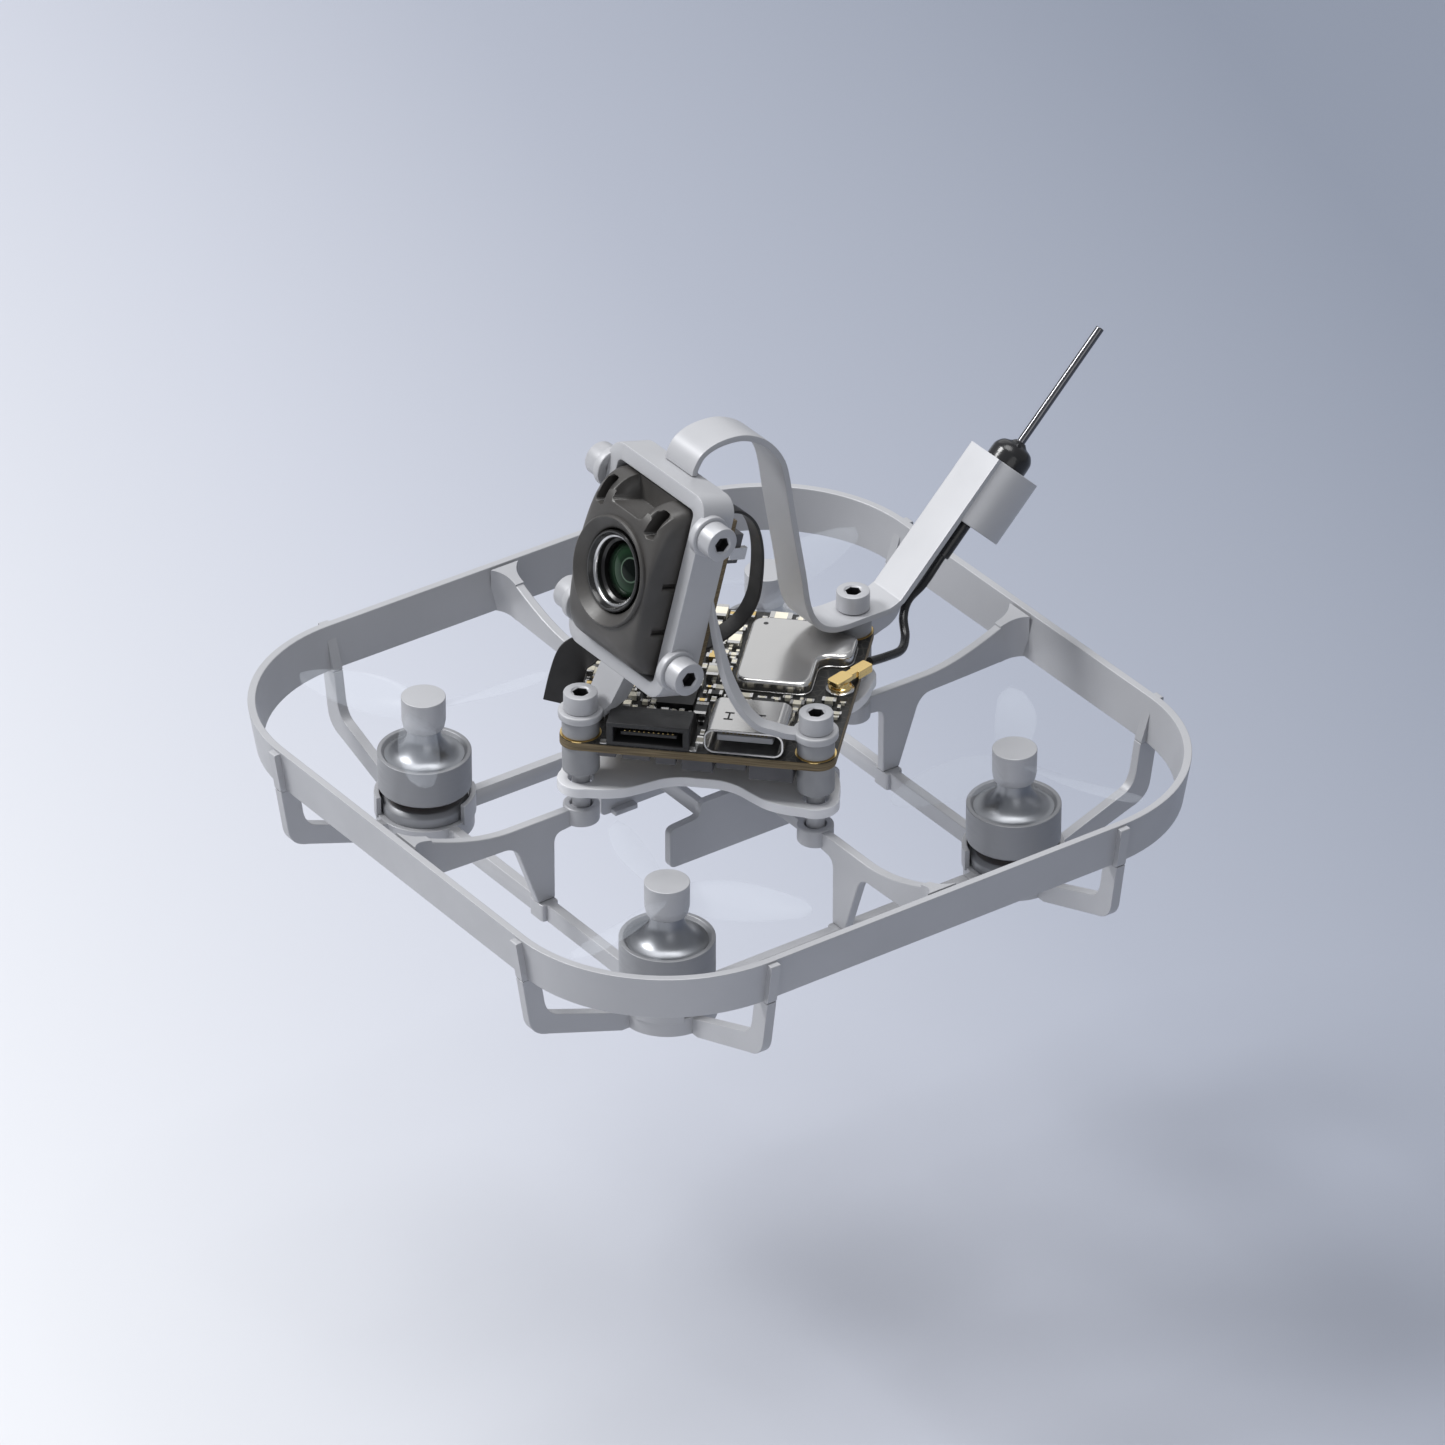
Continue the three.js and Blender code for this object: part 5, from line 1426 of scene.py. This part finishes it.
def camera_socket():
    """The latching socket behind the camera, with its metal tabs."""
    back = CRADLE_BACK
    base = block(back - 2.6, back - 0.9, 0.4, 8.0, CAMERA_HIGH - 5.6, CAMERA_HIGH - 2.2, 0.15)
    tabs = [block(back - 3.2, back - 0.9, y - 0.3, y + 0.3, CAMERA_HIGH - 5.0, CAMERA_HIGH - 3.6, 0.1)
            for y in (0.2, 8.1)]
    return base, merge(*tabs)


def back_parts():
    """Small parts on the camera's own board."""
    back = CRADLE_BACK - 0.9
    chance = random.Random(3)
    parts = []
    for row in range(6):
        for column in range(5):
            y = -5.2 + column * 2.4 + chance.uniform(-0.3, 0.3)
            z = CAMERA_LOW + 1.4 + row * 2.0 + chance.uniform(-0.2, 0.2)
            half = chance.choice([0.3, 0.4, 0.6])
            parts.append(block(back - 0.45, back, y - half, y + half, z - 0.3, z + 0.3, 0.05))
    return merge(*parts)


piece("camera_back_board", moved(camera_back(), TILTED), EDGE, "camera_board", bevel=0.06,
      slot="camera_board_tan")
piece("camera_back_mask", moved(camera_back_mask(), TILTED), MASK)
socket_base, socket_tabs = camera_socket()
piece("camera_ribbon_socket", moved(socket_base, TILTED), UNDERCHIP, bevel=0.08)
piece("camera_ribbon_tabs", moved(socket_tabs, TILTED), TIN, bevel=0.05)
piece("camera_back_parts", moved(back_parts(), TILTED), CREAM)

RIBBON_ROUTE = [(1.1, 2.4, 44.6), (-1.1, 2.3, 43.6), (-2.9, 2.1, 41.4), (-3.9, 1.8, 38.0), (-4.1, 1.4, 34.0),
                (-3.8, 0.9, 30.8), (-2.4, 0.2, 28.2), (0.4, -0.9, 26.4), (4.2, -3.0, 25.4), (8.0, -5.6, 25.1),
                (10.8, -7.6, 25.2), (12.3, -8.6, 24.95), (12.9, -9.0, 24.1), (13.5, -9.4, 21.6),
                (14.0, -9.7, 18.8)]


def camera_ribbon():
    """The flat cable from the camera: narrow in its loop, then broader and turned to face the corner."""
    path = smooth_line(RIBBON_ROUTE, 6)
    rate = lambda i: min(1.0, max(0.0, (i / (len(path) - 1) - 0.45) / 0.25))
    return sweep(path, band_section(1, 0.17, 0.08), lambda i: (-0.75 * rate(i), 1 - 0.34 * rate(i), 0),
                 lambda i: 1.05 + 0.85 * rate(i))


piece("camera_flat_cable", camera_ribbon(), RIBBON, "camera_ribbon")

# ---------------------------------------------------------------- floor, light and camera

DRONE_CENTRE = CENTRE + Vector((0, 0, RING_TOP * MM))
FLOOR_DROP = 0.056                               # the drone hovers this far above the floor
FLOOR_REACH = 3.0
FLOOR_TURN = 73.6                                # degrees; its Y axis runs right and away in the main view
FOCAL_LENGTH = 266.67
CAMERA_PLACE = Vector((571.323, 802.151, 625.382))
CAMERA_AIM = Vector((-0.407, 0.290, 16.12))
# Each light's name, its place from the drone and its diameter, both in metres, and its power in watts.
LIGHTS = [("key", (0.62, -0.56, 0.90), 0.40, 10.5), ("overhead", (-0.05, -0.10, 1.0), 0.7, 6.0),
          ("panel", (-0.6, -0.9, 0.55), 0.9, 1.0), ("side", (0.4, 1.0, 0.25), 0.8, 1.3)]


def floor_material():
    """Pale blue-grey, which deepens along the floor's own Y axis."""
    paint = Paint("floor", (0.66, 0.69, 0.76), 0.75)
    apart = paint.node("SeparateXYZ")
    paint.links.new(paint.place, apart.inputs["Vector"])
    away = paint.span(apart.outputs["Y"], 0.0, 1.0, -0.085, 0.160)
    paint.color(paint.ramp(away, [(0.0, (0.68, 0.69, 0.72)), (0.38, (0.49, 0.51, 0.575)),
                                  (0.62, (0.355, 0.38, 0.45)), (1.0, (0.22, 0.248, 0.312))]))
    return paint.material


def make_floor():
    reach = FLOOR_REACH
    mesh = bpy.data.meshes.new("floor")
    mesh.from_pydata([(-reach, -reach, 0), (reach, -reach, 0), (reach, reach, 0), (-reach, reach, 0)], [],
                     [(0, 1, 2, 3)])
    mesh.materials.append(floor_material())
    floor = bpy.data.objects.new("floor", mesh)
    floor.location = (CENTRE.x, CENTRE.y, -FLOOR_DROP)
    floor.rotation_euler = (0, 0, math.radians(FLOOR_TURN))
    bpy.context.scene.collection.objects.link(floor)
    floor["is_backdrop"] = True


def area_light(name, place, size, power):
    data = bpy.data.lights.new(name, "AREA")
    data.shape = "DISK"
    data.size = size
    data.energy = power
    light = bpy.data.objects.new(name, data)
    light.location = DRONE_CENTRE + Vector(place)
    light.rotation_euler = (-Vector(place)).to_track_quat("-Z", "Y").to_euler()
    bpy.context.scene.collection.objects.link(light)


def make_world():
    world = bpy.data.worlds.new("studio")
    world.use_nodes = True
    background = world.node_tree.nodes["Background"]
    background.inputs["Color"].default_value = (0.88, 0.91, 0.97, 1)
    background.inputs["Strength"].default_value = 0.33
    bpy.context.scene.world = world


def make_camera():
    data = bpy.data.cameras.new("camera")
    data.lens = FOCAL_LENGTH
    data.sensor_width = 36
    data.clip_start = 0.01
    data.clip_end = 20
    camera = bpy.data.objects.new("camera", data)
    aim = CENTRE + CAMERA_AIM * MM
    camera.location = CENTRE + CAMERA_PLACE * MM
    camera.rotation_mode = "QUATERNION"
    camera.rotation_quaternion = (aim - camera.location).to_track_quat("-Z", "Y")
    bpy.context.scene.collection.objects.link(camera)
    bpy.context.scene.camera = camera


make_floor()
make_world()
make_camera()
for light_settings in LIGHTS:
    area_light(*light_settings)
bpy.context.scene.view_settings.view_transform = "Standard"

low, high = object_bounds()
